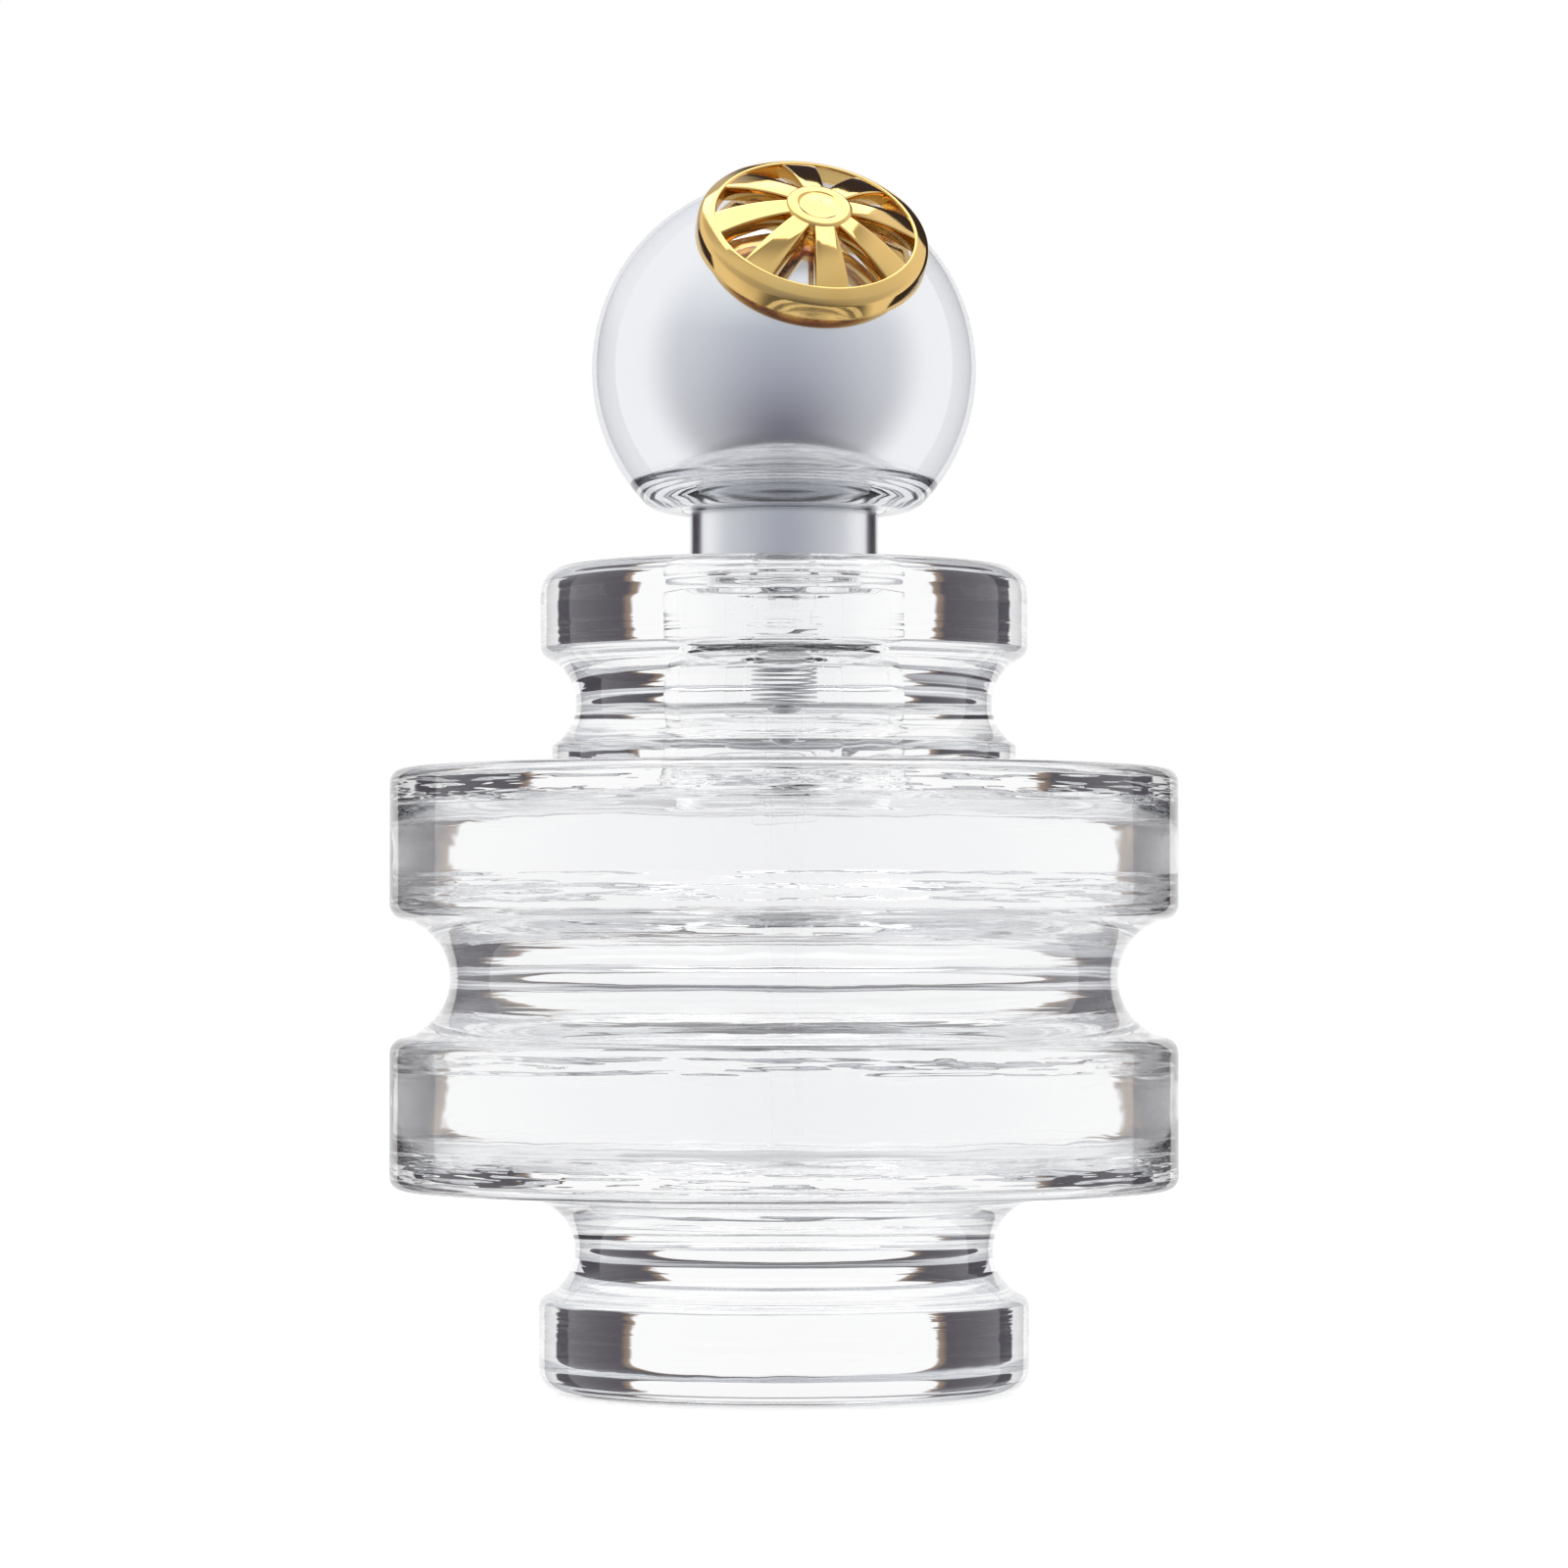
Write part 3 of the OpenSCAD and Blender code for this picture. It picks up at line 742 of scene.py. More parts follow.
@dataclass
class GlassBottle:
    """The moulded glass and the liquid in it. Sizes in millimetres."""

    shop: Workshop
    disc_r: float = field(default_factory=lambda: reach("glass_bottle"))
    neck_top: float = field(default_factory=lambda: high("glass_bottle"))
    foot_r: float = 23.3
    foot_h: float = 8.9
    top_r: float = 23.2
    top_h: float = 8.4
    low_disc_h: float = 14.4
    high_disc_h: float = 14.2
    groove_r: float = 5.75
    waist_r: float = 4.8
    waist_out: float = 1.4
    low_land: float = 0.85
    high_land: float = 1.5
    land_in: float = 1.1
    edge: float = 1.3
    foot_edge: float = 2.4
    top_edge: float = 2.6
    neck_h: float = 3.1
    bead_r: float = 7.5
    bead_step: float = 1.0
    bore_r: float = 4.75
    bore_h: float = 8.0
    throat_r: float = 7.5
    cavity_bend: float = 3.0
    roof_drop: float = 2.6
    pinch: float = 1.2
    pinch_slope: float = 3.3
    pinch_bend: float = 1.6
    groove_lap: float = 0.09
    meniscus: float = 0.6
    wet: float = 0.05
    chamber_r: float = 3.2
    seal_gap: float = 0.5
    wave_height: float = 0.0002

    def __post_init__(self) -> None:
        """Works out the levels of the discs and waists."""
        rise = math.sqrt(self.waist_r**2 - self.waist_out**2)
        self.low_waist_z = self.foot_h + rise
        self.low_disc_z = self.low_waist_z + self.waist_r + self.low_land
        self.groove_z = self.low_disc_z + self.low_disc_h + self.groove_r - self.groove_lap
        self.high_disc_z = self.groove_z + self.groove_r - self.groove_lap
        self.high_disc_top = self.high_disc_z + self.high_disc_h
        self.high_waist_z = self.high_disc_top + self.high_land + self.waist_r
        self.top_disc_z = self.high_waist_z + rise
        self.glass_top = self.top_disc_z + self.top_h
        self.cavity_r = reach("fragrance_liquid")
        self.cavity_z = low("fragrance_liquid")
        self.fill_z = high("fragrance_liquid")
        self.cavity_top = self.high_disc_top - self.roof_drop
        below, above = self.groove_z - self.groove_r, self.groove_z + self.groove_r
        self.pinch_z = (above + self.pinch_slope, above, below, below - self.pinch_slope)

    def outside(self) -> Outline:
        """The outside, from the middle of the foot's underside up to the neck's top."""
        lip = math.degrees(math.acos(self.waist_out / self.waist_r))
        flare = math.degrees(math.acos((self.waist_out + self.land_in) / self.waist_r))
        wide = self.foot_r + self.waist_out
        neck_r, bead_z = self.bead_r - self.bead_step, self.glass_top + self.neck_h
        return (
            Outline(0.0, 0.0)
            .lines((self.foot_r, 0.0, self.foot_edge), (self.foot_r, self.foot_h, 0.7))
            .arc(wide, self.low_waist_z, self.waist_r, 180 + lip, 90, 0.5)
            .lines((wide, self.low_disc_z, 0.4), (self.disc_r, self.low_disc_z, self.edge))
            .line(self.disc_r, self.groove_z - self.groove_r, self.edge)
            .arc(self.disc_r, self.groove_z, self.groove_r, 270, 90, self.edge)
            .line(self.disc_r, self.high_disc_top, self.edge)
            .line(self.top_r - self.land_in, self.high_disc_top, 0.5)
            .arc(self.top_r + self.waist_out, self.high_waist_z, self.waist_r, 180 + flare, 180 - lip, 0.8)
            .lines((self.top_r, self.glass_top, self.top_edge), (neck_r, self.glass_top, 0.5))
            .lines((neck_r, bead_z, 0.2), (self.bead_r, bead_z, 0.9), (self.bead_r, self.neck_top, 0.9))
        )

    def inside(self, path: Outline, spread: float = 0.0) -> Outline:
        """Adds the throat and cavity to an outline, down to the middle of the cavity's floor."""
        throat, wide, roof = self.throat_r + spread, self.cavity_r + spread, self.cavity_top + spread
        slim, floor, bend = self.cavity_r - self.pinch + spread, self.cavity_z - spread, self.cavity_bend
        path.lines((throat, roof, 1.5), (wide, roof, bend))
        path.lines(*((r, z, self.pinch_bend) for r, z in zip((wide, slim, slim, wide), self.pinch_z)))
        return path.lines((wide, floor, bend), (0.0, floor))

    def glass(self) -> bpy.types.Object:
        """Builds the bottle."""
        throat_top = self.neck_top - self.bore_h
        path = self.outside().lines(
            (self.bore_r, self.neck_top, 0.4),
            (self.bore_r, throat_top, 0.3),
            (self.throat_r, throat_top, 1.0),
        )
        path = self.inside(path)
        mesh = self.shop.turned(path, Finish.GLASS, False, 160, self.wave_share, self.wave_height)
        return self.shop.piece("bottle_glass", mesh, Finish.GLASS, "bottle", "glass_bottle")

    def wave_share(self, point: Point) -> float:
        """The wall of the cavity waves where the hot glass ran, and nothing else does."""
        r, z = point
        floor, roof = self.cavity_z - 0.2, self.cavity_top + 3.0
        inside = floor < z < roof and r < self.cavity_r + 0.2
        return min(1.0, r / 6.0) if inside else 0.0

    def liquid(self) -> bpy.types.Object:
        """Builds the liquid, which reaches into the glass a little and fills the primed pump to its seal."""
        rim = self.throat_r + self.wet
        chamber_z = low("stem_gasket") - self.seal_gap
        surface = Outline(0.0, chamber_z).lines(
            (self.chamber_r, chamber_z, 0.05),
            (self.chamber_r, self.fill_z, 0.05),
            (rim - 2 * self.meniscus, self.fill_z, self.meniscus),
            (rim, self.fill_z + self.meniscus, 0.1),
        )
        path = self.inside(surface, self.wet)
        mesh = self.shop.turned(path, Finish.LIQUID, False, 160, self.wave_share, self.wave_height)
        return self.shop.piece("fragrance", mesh, Finish.LIQUID, "bottle", "fragrance_liquid")

    def build(self) -> None:
        """Builds the glass and the liquid."""
        self.glass()
        self.liquid()


@dataclass
class CrimpPump:
    """The crimped spray pump. Sizes in millimetres."""

    shop: Workshop
    ferrule_t: float = 0.4
    crimp_r: float = 6.75
    crimp_h: float = 0.55
    mouth_r: float = 2.0
    housing_r: float = 4.15
    plug_r: float = 3.32
    piston_r: float = 2.8
    seat_r: float = 1.5
    port_r: float = 0.9
    tube_r: float = 1.27
    tube_in: float = 6.0
    port_top: float = 7.6
    nipple_r: float = 2.22
    shoulder_drop: float = 3.35
    tube_wall: float = 0.4
    tube_slant: float = 40.0

    def gaskets(self) -> None:
        """Builds the neck gasket and dresses the stem's."""
        z0, z1 = low("neck_gasket"), high("neck_gasket")
        path = ring_outline(self.housing_r + 0.05, reach("neck_gasket"), z0, z1, 0.15)
        mesh = self.shop.turned(path, Finish.RUBBER, True)
        self.shop.piece("gasket", mesh, Finish.RUBBER, "bottle", "neck_gasket")
        dress("stem_gasket", Finish.RUBBER)

    def ferrule(self) -> None:
        """Builds the crimped aluminium ferrule with its turret."""
        t, out = self.ferrule_t, reach("crimp_ferrule")
        z0, z1 = low("crimp_ferrule"), high("crimp_ferrule")
        turret = reach("pump_closure") + 0.05 + t
        deck = high("pump_housing") + t
        path = Outline(self.crimp_r, z0 + 0.3).lines(
            (self.crimp_r, z0, 0.12),
            (out, z0, 0.5),
            (out, deck, 0.5),
            (turret, deck, 0.25),
            (turret, z1, 0.4),
            (self.mouth_r, z1, 0.08),
            (self.mouth_r, z1 - t, 0.08),
            (turret - t, z1 - t, 0.1),
            (turret - t, deck - t, 0.2),
            (out - t, deck - t, 0.2),
            (out - t, z0 + self.crimp_h, 0.2),
            (self.crimp_r, z0 + self.crimp_h, 0.12),
        )
        mesh = self.shop.turned(path, Finish.FERRULE, True)
        self.shop.piece("ferrule", mesh, Finish.FERRULE, "bottle", "crimp_ferrule")

    def housing(self) -> None:
        """Builds the housing with its flange, piston bore and tube nipple."""
        top, foot, flange = high("pump_housing"), low("pump_housing"), reach("pump_housing")
        spring_z, seal_z = low("return_spring"), low("stem_gasket")
        shoulder = spring_z - self.shoulder_drop
        path = Outline(self.plug_r, top - 3).lines(
            (self.plug_r, top, 0.1),
            (flange, top, 0.15),
            (flange, top - 1, 0.15),
            (self.housing_r, top - 1, 0.2),
            (self.housing_r, shoulder, 0.6),
            (self.nipple_r, shoulder, 0.2),
            (self.nipple_r, foot, 0.2),
            (self.tube_r, foot, 0.1),
            (self.tube_r, foot + self.tube_in, 0.05),
            (self.port_r, foot + self.tube_in, 0.05),
            (self.port_r, foot + self.port_top, 0.05),
            (self.seat_r, foot + self.port_top, 0.1),
            (self.seat_r, spring_z, 0.1),
            (self.piston_r, spring_z, 0.1),
            (self.piston_r, seal_z, 0.1),
            (self.plug_r, seal_z, 0.1),
        )
        mesh = self.shop.turned(path, Finish.NATURAL, True, 96)
        self.shop.piece("housing", mesh, Finish.NATURAL, "bottle", "pump_housing")

    def tube(self) -> None:
        """Builds the dip tube, cut at a slant above the cavity's floor."""
        out, wall = reach("dip_tube"), self.tube_wall
        foot, top = low("dip_tube"), high("dip_tube")
        mesh = self.shop.turned(ring_outline(out - wall, out, foot, top, 0.04), Finish.TUBE, True, 48)
        slant = math.radians(self.tube_slant)
        slope = Vector((math.sin(slant), 0, -math.cos(slant)))
        point = Vector((0, 0, (foot + out * math.tan(slant)) * MM))
        with edited(mesh) as work:
            geometry = [*work.verts, *work.edges, *work.faces]
            cut = bmesh.ops.bisect_plane(
                work, geom=geometry, plane_co=point, plane_no=slope, clear_outer=True
            )
            edges = [e for e in cut["geom_cut"] if isinstance(e, bmesh.types.BMEdge)]
            bmesh.ops.bridge_loops(work, edges=edges)
        self.shop.piece("suction_tube", outward(mesh), Finish.TUBE, "bottle", "dip_tube")

    def spring(self, node: str, name: str, body: str, turns: float, wire: float) -> bpy.types.Object:
        """Builds one coil spring where a CAD spring stands.

        Args:
            node: the CAD spring.
            name: the new piece's name.
            body: the body that its fixed end rides on.
            turns: number of turns.
            wire: wire thickness.

        Returns:
            The spring.
        """
        seed = bpy.data.meshes.new("seed")
        height = high(node) - low(node)
        sizes = {"radius": (reach(node) - wire / 2) * MM, "wire": wire * MM, "height": height * MM}
        mesh = self.shop.coil.run(seed, Finish.STEEL.material(), turns=turns, **sizes)
        mesh.transform(Matrix.Translation((0, 0, low(node) * MM)))
        return self.shop.piece(name, outward(mesh), Finish.STEEL, body, node)

    def springs(self) -> None:
        """Builds both springs, each with a mesh of its own."""
        main = self.spring("return_spring", "main_spring", "bottle", 7.0, 0.42)
        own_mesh(main)
        small = self.spring("precompression_spring", "small_spring", "plunger", 4.0, 0.3)
        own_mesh(small)

    def build(self) -> None:
        """Builds the pump."""
        self.gaskets()
        self.ferrule()
        self.housing()
        self.tube()
        self.springs()
        for node in ("pump_closure", "pump_stem", "pump_piston"):
            dress(node, Finish.NATURAL)
        dress("inlet_ball", Finish.STEEL)


@dataclass
class SprayButton:
    """The spray button: an aluminium sheath over a plastic core with its nozzle cup."""

    sheath: Finish = Finish.COLLAR
    core: Finish = Finish.WHITE

    def build(self) -> None:
        """Dresses the button's pieces."""
        dress("button_sheath", self.sheath)
        dress("button_body", self.core)
        dress("spray_insert", self.core)


@dataclass
class NeckCollar:
    """The silver collar between the glass and the ball. Sizes in millimetres."""

    shop: Workshop
    wall: float = 0.4
    step: float = 0.4
    button_gap: float = 0.45
    cap_gap: float = 0.1

    def build(self) -> None:
        """Builds the collar and dresses its liner."""
        t, out, mouth = self.wall, reach("neck_collar"), reach("button_sheath") + self.button_gap
        z0, z1 = low("neck_collar"), high("neck_collar")
        ring_top = low("cap_shell") - self.cap_gap
        inner = out - self.step
        path = Outline(out - t, z0 + 2).lines(
            (out - t, z0, 0.1),
            (out, z0, 0.16),
            (out, ring_top, 0.2),
            (inner, ring_top, 0.06),
            (inner, z1, 0.35),
            (mouth, z1, 0.1),
            (mouth, z1 - t, 0.1),
            (inner - t, z1 - t, 0.1),
            (inner - t, ring_top - t, 0.1),
            (out - t, ring_top - t, 0.06),
        )
        mesh = self.shop.turned(path, Finish.COLLAR, True, 160)
        self.shop.piece("collar", mesh, Finish.COLLAR, "bottle", "neck_collar")
        dress("collar_liner", Finish.WHITE)


@dataclass
class BallCap:
    """The clear ball with its silver core and sleeve. Sizes in millimetres."""

    shop: Workshop
    base_round: float = 1.3
    bond: float = 0.04
    shell_gap: float = 0.02
    core_gap: float = 0.03
    core_t: float = 1.4
    sleeve_t: float = 1.2
    grip: float = 0.35
    ripple: float = 0.22
    ripples: int = 3

    def __post_init__(self) -> None:
        """Reads the ball's place from the frame."""
        self.ball_r = reach("cap_shell")
        self.base_z = low("cap_shell")
        self.centre_z = high("cap_shell") - self.ball_r
        self.core_r = reach("cap_core")
        self.core_z = low("cap_core")
        self.sleeve_r = reach("cap_sleeve")

    def _dip(self, size: float, z: float) -> float:
        """Angle below the equator at which a ball of this size reaches height z, in degrees."""
        return math.degrees(math.asin((z - self.centre_z) / size))

    def _span(self, size: float, z: float) -> float:
        """Radius at height z of a ball of this size."""
        return math.sqrt(size**2 - (z - self.centre_z) ** 2)

    def rippled(self, path: Outline, start: float, end: float, z: float) -> None:
        """Draws the rings moulded between the clear base and the core.

        Args:
            path: the outline to draw on.
            start: radius where the rings start.
            end: radius where they end.
            z: height of the flat between them.
        """
        steps = 12 * self.ripples
        for i in range(1, steps + 1):
            rise = self.ripple * (1 - math.cos(2 * math.pi * self.ripples * i / steps))
            path.line(start + (end - start) * i / steps, z + rise)

    def shell(self) -> None:
        """Builds the clear ball, bonded to the core."""
        bore, inner = self.sleeve_r + self.shell_gap, self.core_r - self.bond
        floor = self.core_z + self.bond
        base = self._dip(self.ball_r, self.base_z)
        path = (
            Outline(0.0, self.centre_z + self.ball_r)
            .arc(0.0, self.centre_z, self.ball_r, 90, base, self.base_round)
            .lines((bore, self.base_z, 0.15), (bore, floor, 0.05))
        )
        self.rippled(path, bore, self._span(inner, floor), floor)
        path.arc(0.0, self.centre_z, inner, self._dip(inner, floor), 90)
        mesh = self.shop.turned(path, Finish.RESIN, False, 160)
        self.shop.piece("ball_shell", mesh, Finish.RESIN, "cap", "cap_shell")

    def core(self) -> None:
        """Builds the silver ball inside, hollow and open where the sleeve goes through."""
        bore, inner = self.sleeve_r + self.core_gap, self.core_r - self.core_t
        floor = self.core_z + self.core_t
        path = Outline(0.0, self.centre_z + self.core_r)
        path.arc(0.0, self.centre_z, self.core_r, 90, self._dip(self.core_r, self.core_z))
        self.rippled(path, self._span(self.core_r, self.core_z), bore, self.core_z)
        path.lines((bore, floor, 0.1), (self._span(inner, floor), floor, 0.3))
        path.arc(0.0, self.centre_z, inner, self._dip(inner, floor), 90)
        mesh = self.shop.turned(path, Finish.SILVER, False, 160)
        self.shop.piece("silver_core", mesh, Finish.SILVER, "cap", "cap_core")

    def sleeve(self) -> None:
        """Builds the sleeve that slides on the collar."""
        inner, top = reach("neck_collar") - self.grip, high("cap_sleeve")
        path = Outline(0.0, top).lines(
            (self.sleeve_r, top, 0.5),
            (self.sleeve_r, self.base_z, 0.12),
            (inner, self.base_z, 0.12),
            (inner, top - self.sleeve_t, 0.3),
            (0.0, top - self.sleeve_t),
        )
        mesh = self.shop.turned(path, Finish.SLEEVE, False)
        self.shop.piece("sleeve", mesh, Finish.SLEEVE, "cap", "cap_sleeve")

    def build(self) -> None:
        """Builds the cap."""
        self.shell()
        self.core()
        self.sleeve()


@dataclass
class SunrayOrnament:
    """The gold sunray medallion that curves over the ball. Sizes in millimetres."""

    shop: Workshop
    ball_r: float
    ball_z: float
    radius: float = 11.0
    stand: float = 1.7
    lift: float = 0.02
    ring_w: float = 1.6
    boss_r: float = 3.2
    rays: int = 8
    ray_start_w: float = 1.9
    ray_end_w: float = 3.4
    tilt: float = 44.4
    turn: float = 13.9

    def crown(self, r: float, rise: float) -> float:
        """Height above the ball's centre at radius r, `rise` above the ball's surface."""
        return math.sqrt((self.ball_r + rise) ** 2 - r * r)

    def ring(self) -> bpy.types.Mesh:
        """The outer ring, with a soft roll on its upper edges."""
        a, b, t = self.radius - self.ring_w, self.radius, self.stand
        path = Outline(a, self.crown(a, t) - 0.8).lines(
            (a, self.crown(a, self.lift), 0.08),
            (b, self.crown(b, self.lift), 0.08),
            (b, self.crown(b, t), 0.45),
            (a, self.crown(a, t), 0.45),
        )
        return self.shop.turned(path, Finish.GOLD, True, 128)

    def boss(self) -> bpy.types.Mesh:
        """The centre boss: a dome inside a rolled rim."""
        b, t = self.boss_r, self.stand
        path = Outline(0.0, self.crown(0, t)).lines(
            (b * 0.55, self.crown(b * 0.55, t) - 0.28, 0.3),
            (b * 0.7, self.crown(b * 0.7, t), 0.3),
            (b, self.crown(b, t), 0.4),
            (b, self.crown(b, self.lift), 0.08),
            (0.0, self.crown(0, self.lift)),
        )
        return self.shop.turned(path, Finish.GOLD, False, 96)

    def ray(self) -> bpy.types.Mesh:
        """One ray along +X: a bar that widens outwards and follows the ball."""
        first, last, steps = self.boss_r * 0.8, self.radius - self.ring_w / 2, 24
        side = [(-1, 0.02), *((v / 2, 0.9) for v in range(-2, 3)), (1, 0.02)]
        rows, faces = [], []
        for i in range(steps + 1):
            t = i / steps
            u, half = first + (last - first) * t, self.ray_start_w / 2 * (1 - t) + self.ray_end_w / 2 * t
            for v, rise in side:
                radius = math.hypot(u, v * half)
                rows.append((u * MM, v * half * MM, self.crown(radius, rise * self.stand) * MM))
        n = len(side)
        for i in range(steps):
            for k in range(n):
                a, b = i * n + k, i * n + (k + 1) % n
                faces.append((a, b, b + n, a + n))
        faces += [tuple(range(n)), tuple(range(steps * n + n - 1, steps * n - 1, -1))]
        mesh = bpy.data.meshes.new("ray")
        mesh.from_pydata(rows, [], faces)
        return outward(self._softened(mesh))

    def _softened(self, mesh: bpy.types.Mesh) -> bpy.types.Mesh:
        """Rounds a mesh's long edges a little."""
        with edited(mesh) as work:
            bmesh.ops.recalc_face_normals(work, faces=work.faces)
            sharp = [e for e in work.edges if e.is_manifold and e.calc_face_angle() > math.radians(18)]
            bmesh.ops.bevel(work, geom=sharp, offset=0.16 * MM, segments=3, profile=0.5, affect="EDGES")
            for face in work.faces:
                face.smooth = True
        return mesh

    def build(self) -> None:
        """Builds the ornament and puts it on the ball."""
        rays = self.shop.around.run(self.ray(), Finish.GOLD.material(), count=self.rays)
        mesh = joined([self.ring(), self.boss(), rays], "ornament")
        place = Matrix.Translation((0, 0, self.ball_z * MM))
        place = place @ Matrix.Rotation(math.radians(self.turn), 4, "Z")
        mesh.transform(place @ Matrix.Rotation(math.radians(self.tilt), 4, "X"))
        self.shop.piece("sunray_ornament", mesh, Finish.GOLD, "cap", "ornament")


def dress(node: str, finish: Finish) -> None:
    """Gives a carried-over CAD node its finish."""
    shown = bpy.data.objects[node]
    shown.data.materials.clear()
    shown.data.materials.append(finish.material())
    LOG.info("%s: dressed in %s", node, finish.name)


# ---------------------------------------------------------------- the studio


@dataclass
class Studio:
    """Pale floor, soft light from all round with a dark ring about the backdrop, one lamp, and the camera."""

    camera_away: float = 0.56
    camera_height: float = 0.0406
    aim_height: float = 0.0577
    lens: float = 135.0
    ring_from: float = 28.0
    ring_to: float = 58.0
    RING: ClassVar[Colour] = (0.045, 0.038, 0.05)
    RING_OPEN: ClassVar[Colour] = (0.62, 0.64, 0.68)
    FRINGE: ClassVar[Colour] = (0.36, 0.24, 0.15)
    ZENITH: ClassVar[Colour] = (0.42, 0.42, 0.43)
    NADIR: ClassVar[Colour] = (0.17, 0.17, 0.18)
    WHITE: ClassVar[Colour] = (1.0, 1.0, 1.0)
    LAMP_AIM: ClassVar[float] = 0.05
    FRONT_TONES: ClassVar[tuple[tuple[float, Colour], ...]] = (
        (0.0, (0.16, 0.16, 0.19)),
        (0.18, (0.165, 0.165, 0.2)),
        (0.28, (0.21, 0.21, 0.25)),
        (0.45, (0.385, 0.395, 0.45)),
        (0.61, (0.49, 0.51, 0.56)),
        (0.76, (0.8, 0.84, 0.86)),
        (1.0, WHITE),
    )

    def aimed(
        self, name: str, data: bpy.types.ID, place: tuple[float, float, float], height: float
    ) -> bpy.types.Object:
        """Hangs a camera or a lamp.

        Args:
            name: its name.
            data: its camera or light data.
            place: where it hangs.
            height: the height on the bottle's axis that it faces.

        Returns:
            The object.
        """
        made = bpy.data.objects.new(name, data)
        made.location = place
        aim = Vector((0.0, 0.0, height)) - made.location
        made.rotation_euler = aim.to_track_quat("-Z", "Y").to_euler()
        bpy.context.scene.collection.objects.link(made)
        return made

    def camera(self) -> None:
        """Places the camera in front of the bottle."""
        data = bpy.data.cameras.new("camera")
        data.lens, data.sensor_width = self.lens, 36.0
        data.clip_start, data.clip_end = 0.01, 20.0
        place = (0.0, -self.camera_away, self.camera_height)
        bpy.context.scene.camera = self.aimed("camera", data, place, self.aim_height)

    def floor(self) -> None:
        """Lays a round pale floor that glows a little, as a lit table does."""
        surface = Surface("pale_floor", Roughness=0.6, Emission_Strength=0.72)
        shade = surface.mix(surface.noise(0.05), rgba((0.86, 0.86, 0.865)), rgba((0.88, 0.88, 0.88)))
        surface.set("Base Color", shade)
        surface.shader.inputs["Emission Color"].default_value = rgba(self.WHITE)
        surface.shader.inputs["Specular IOR Level"].default_value = 0.1
        mesh = bpy.data.meshes.new("floor")
        with edited(mesh) as work:
            bmesh.ops.create_circle(work, cap_ends=True, radius=3.0, segments=96)
        mesh.materials.append(surface.material)
        made = bpy.data.objects.new("floor", mesh)
        made.location.z = -0.0002
        made.visible_glossy = False
        made.visible_transmission = False
        bpy.context.scene.collection.objects.link(made)

    def surroundings(self) -> None:
        """Paints the light from all round: bright backdrop, a dark ring about it, white sides, dim front.

        The ring darkens the edges of the glass. A ray that has gone through clear stuff and off a mirror
        doesn't meet it, so the silver core reflects the plain soft light alone. The view past the bottle
        is plain white.
        """
        world = bpy.data.worlds.new("studio")
        world.use_nodes = True
        bpy.context.scene.world = world
        t = Tree(world.node_tree)
        t.tree.nodes.clear()
        way = t.node("ShaderNodeSeparateXYZ", {0: t.node("ShaderNodeTexCoord").outputs["Generated"]})
        x, y, z = (t.value(way, i) for i in range(3))
        degrees = 180 / math.pi
        off = t.math("ARCCOSINE", y) * degrees
        up = t.math("ARCSINE", z) * degrees
        around = t.math("ARCTAN2", abs(x), y) * degrees
        edge = t.smooth(off, self.ring_from - 1.0, self.ring_from + 0.4)
        ring = edge * (1 - t.smooth(off, self.ring_to, self.ring_to + 2))
        warm = edge * (1 - t.smooth(off, self.ring_from, self.ring_from + 2.5))
        open_side = t.smooth(up, 8, 22) * t.smooth(x * -1, 0.05, 0.2)
        front = t.smooth(around, 72, 112) * 0.55 + t.smooth(around, 95, 180) * 0.45
        path = t.node("ShaderNodeLightPath")
        mirrored = t.math("MINIMUM", t.value(path, "Glossy Depth"), 1.0)
        ringed = 1 - mirrored * t.math("MINIMUM", t.value(path, "Transmission Depth"), 1.0)
        stops = [(place, rgba(tone)) for place, tone in self.FRONT_TONES]
        tone = t.node("ShaderNodeValToRGB", {0: up / 180 + 0.5}, stops=stops).outputs[0]
        white = rgba(self.WHITE)
        domed = t.mix(t.smooth(up, 52, 68), t.mix(front, white, tone), rgba(self.ZENITH))
        sky = t.mix(t.smooth(up * -1, 42, 56), domed, rgba(self.NADIR))
        dark = t.mix(open_side, rgba(self.RING), rgba(self.RING_OPEN))
        darkened = t.mix(ring * ringed, sky, dark)
        fringed = t.mix(warm * ringed * (1 - open_side) * 0.7, darkened, rgba(self.FRINGE))
        lit = t.node("ShaderNodeBackground", {"Color": fringed, "Strength": 1.0})
        plain = t.node("ShaderNodeBackground", {"Color": white, "Strength": 1.0})
        seen = path.outputs["Is Camera Ray"]
        mixed = t.node("ShaderNodeMixShader", {0: seen, 1: lit.outputs[0], 2: plain.outputs[0]})
        t.node("ShaderNodeOutputWorld", {"Surface": mixed.outputs[0]})

    def lamp(self, name: str, place: tuple[float, float, float], size: float, power: float) -> None:
        """Hangs one soft square light that faces the bottle."""
        data = bpy.data.lights.new(name, "AREA")
        data.shape, data.size, data.energy = "SQUARE", size, power
        self.aimed(name, data, place, self.LAMP_AIM)

    def rendering(self) -> None:
        """Lets light pass through all the layers of glass, and keeps whites clean."""
        scene = bpy.context.scene
        scene.view_settings.view_transform = "Standard"
        scene.cycles.max_bounces = 32
        scene.cycles.transmission_bounces = 28
        scene.cycles.glossy_bounces = 12
        scene.cycles.sample_clamp_indirect = 6.0
        scene.cycles.use_denoising = True

    def build(self) -> None:
        """Builds the studio."""
        self.camera()
        self.floor()
        self.surroundings()
        self.lamp("overhead", (0.0, 0.1, 0.9), 0.8, 4.0)
        self.rendering()
        LOG.info("studio: camera %.0f mm away", self.camera_away / MM)


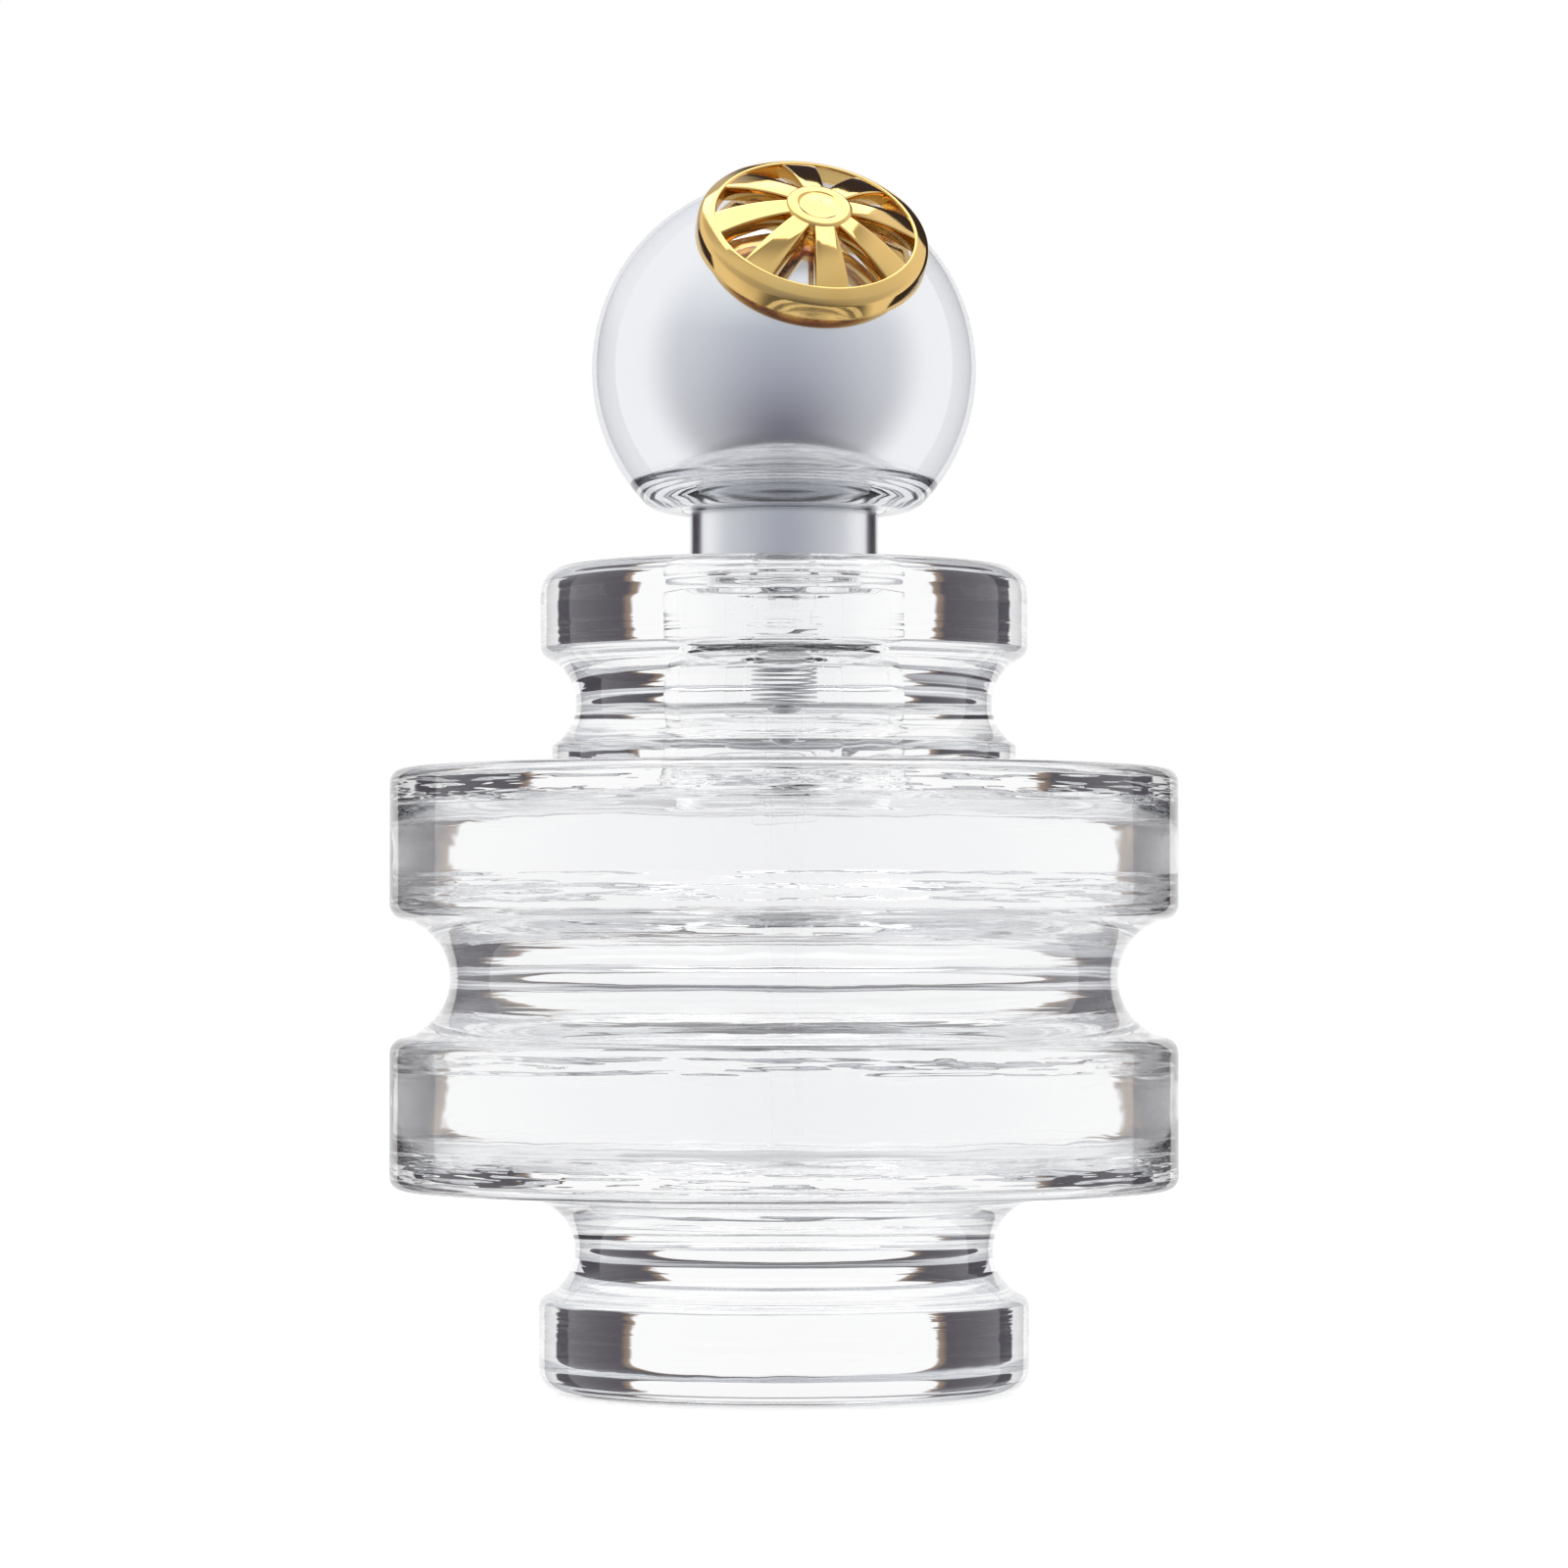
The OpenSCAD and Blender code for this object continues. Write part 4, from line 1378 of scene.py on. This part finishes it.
def main() -> None:
    """Builds the studio and every piece of the bottle."""
    logging.basicConfig(level=logging.INFO, format="%(name)s: %(message)s")
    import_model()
    Studio().build()
    shop = Workshop()
    GlassBottle(shop).build()
    CrimpPump(shop).build()
    SprayButton().build()
    NeckCollar(shop).build()
    cap = BallCap(shop)
    cap.build()
    SunrayOrnament(shop, cap.ball_r, cap.centre_z).build()
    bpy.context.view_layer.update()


if __name__ == "__main__":
    main()
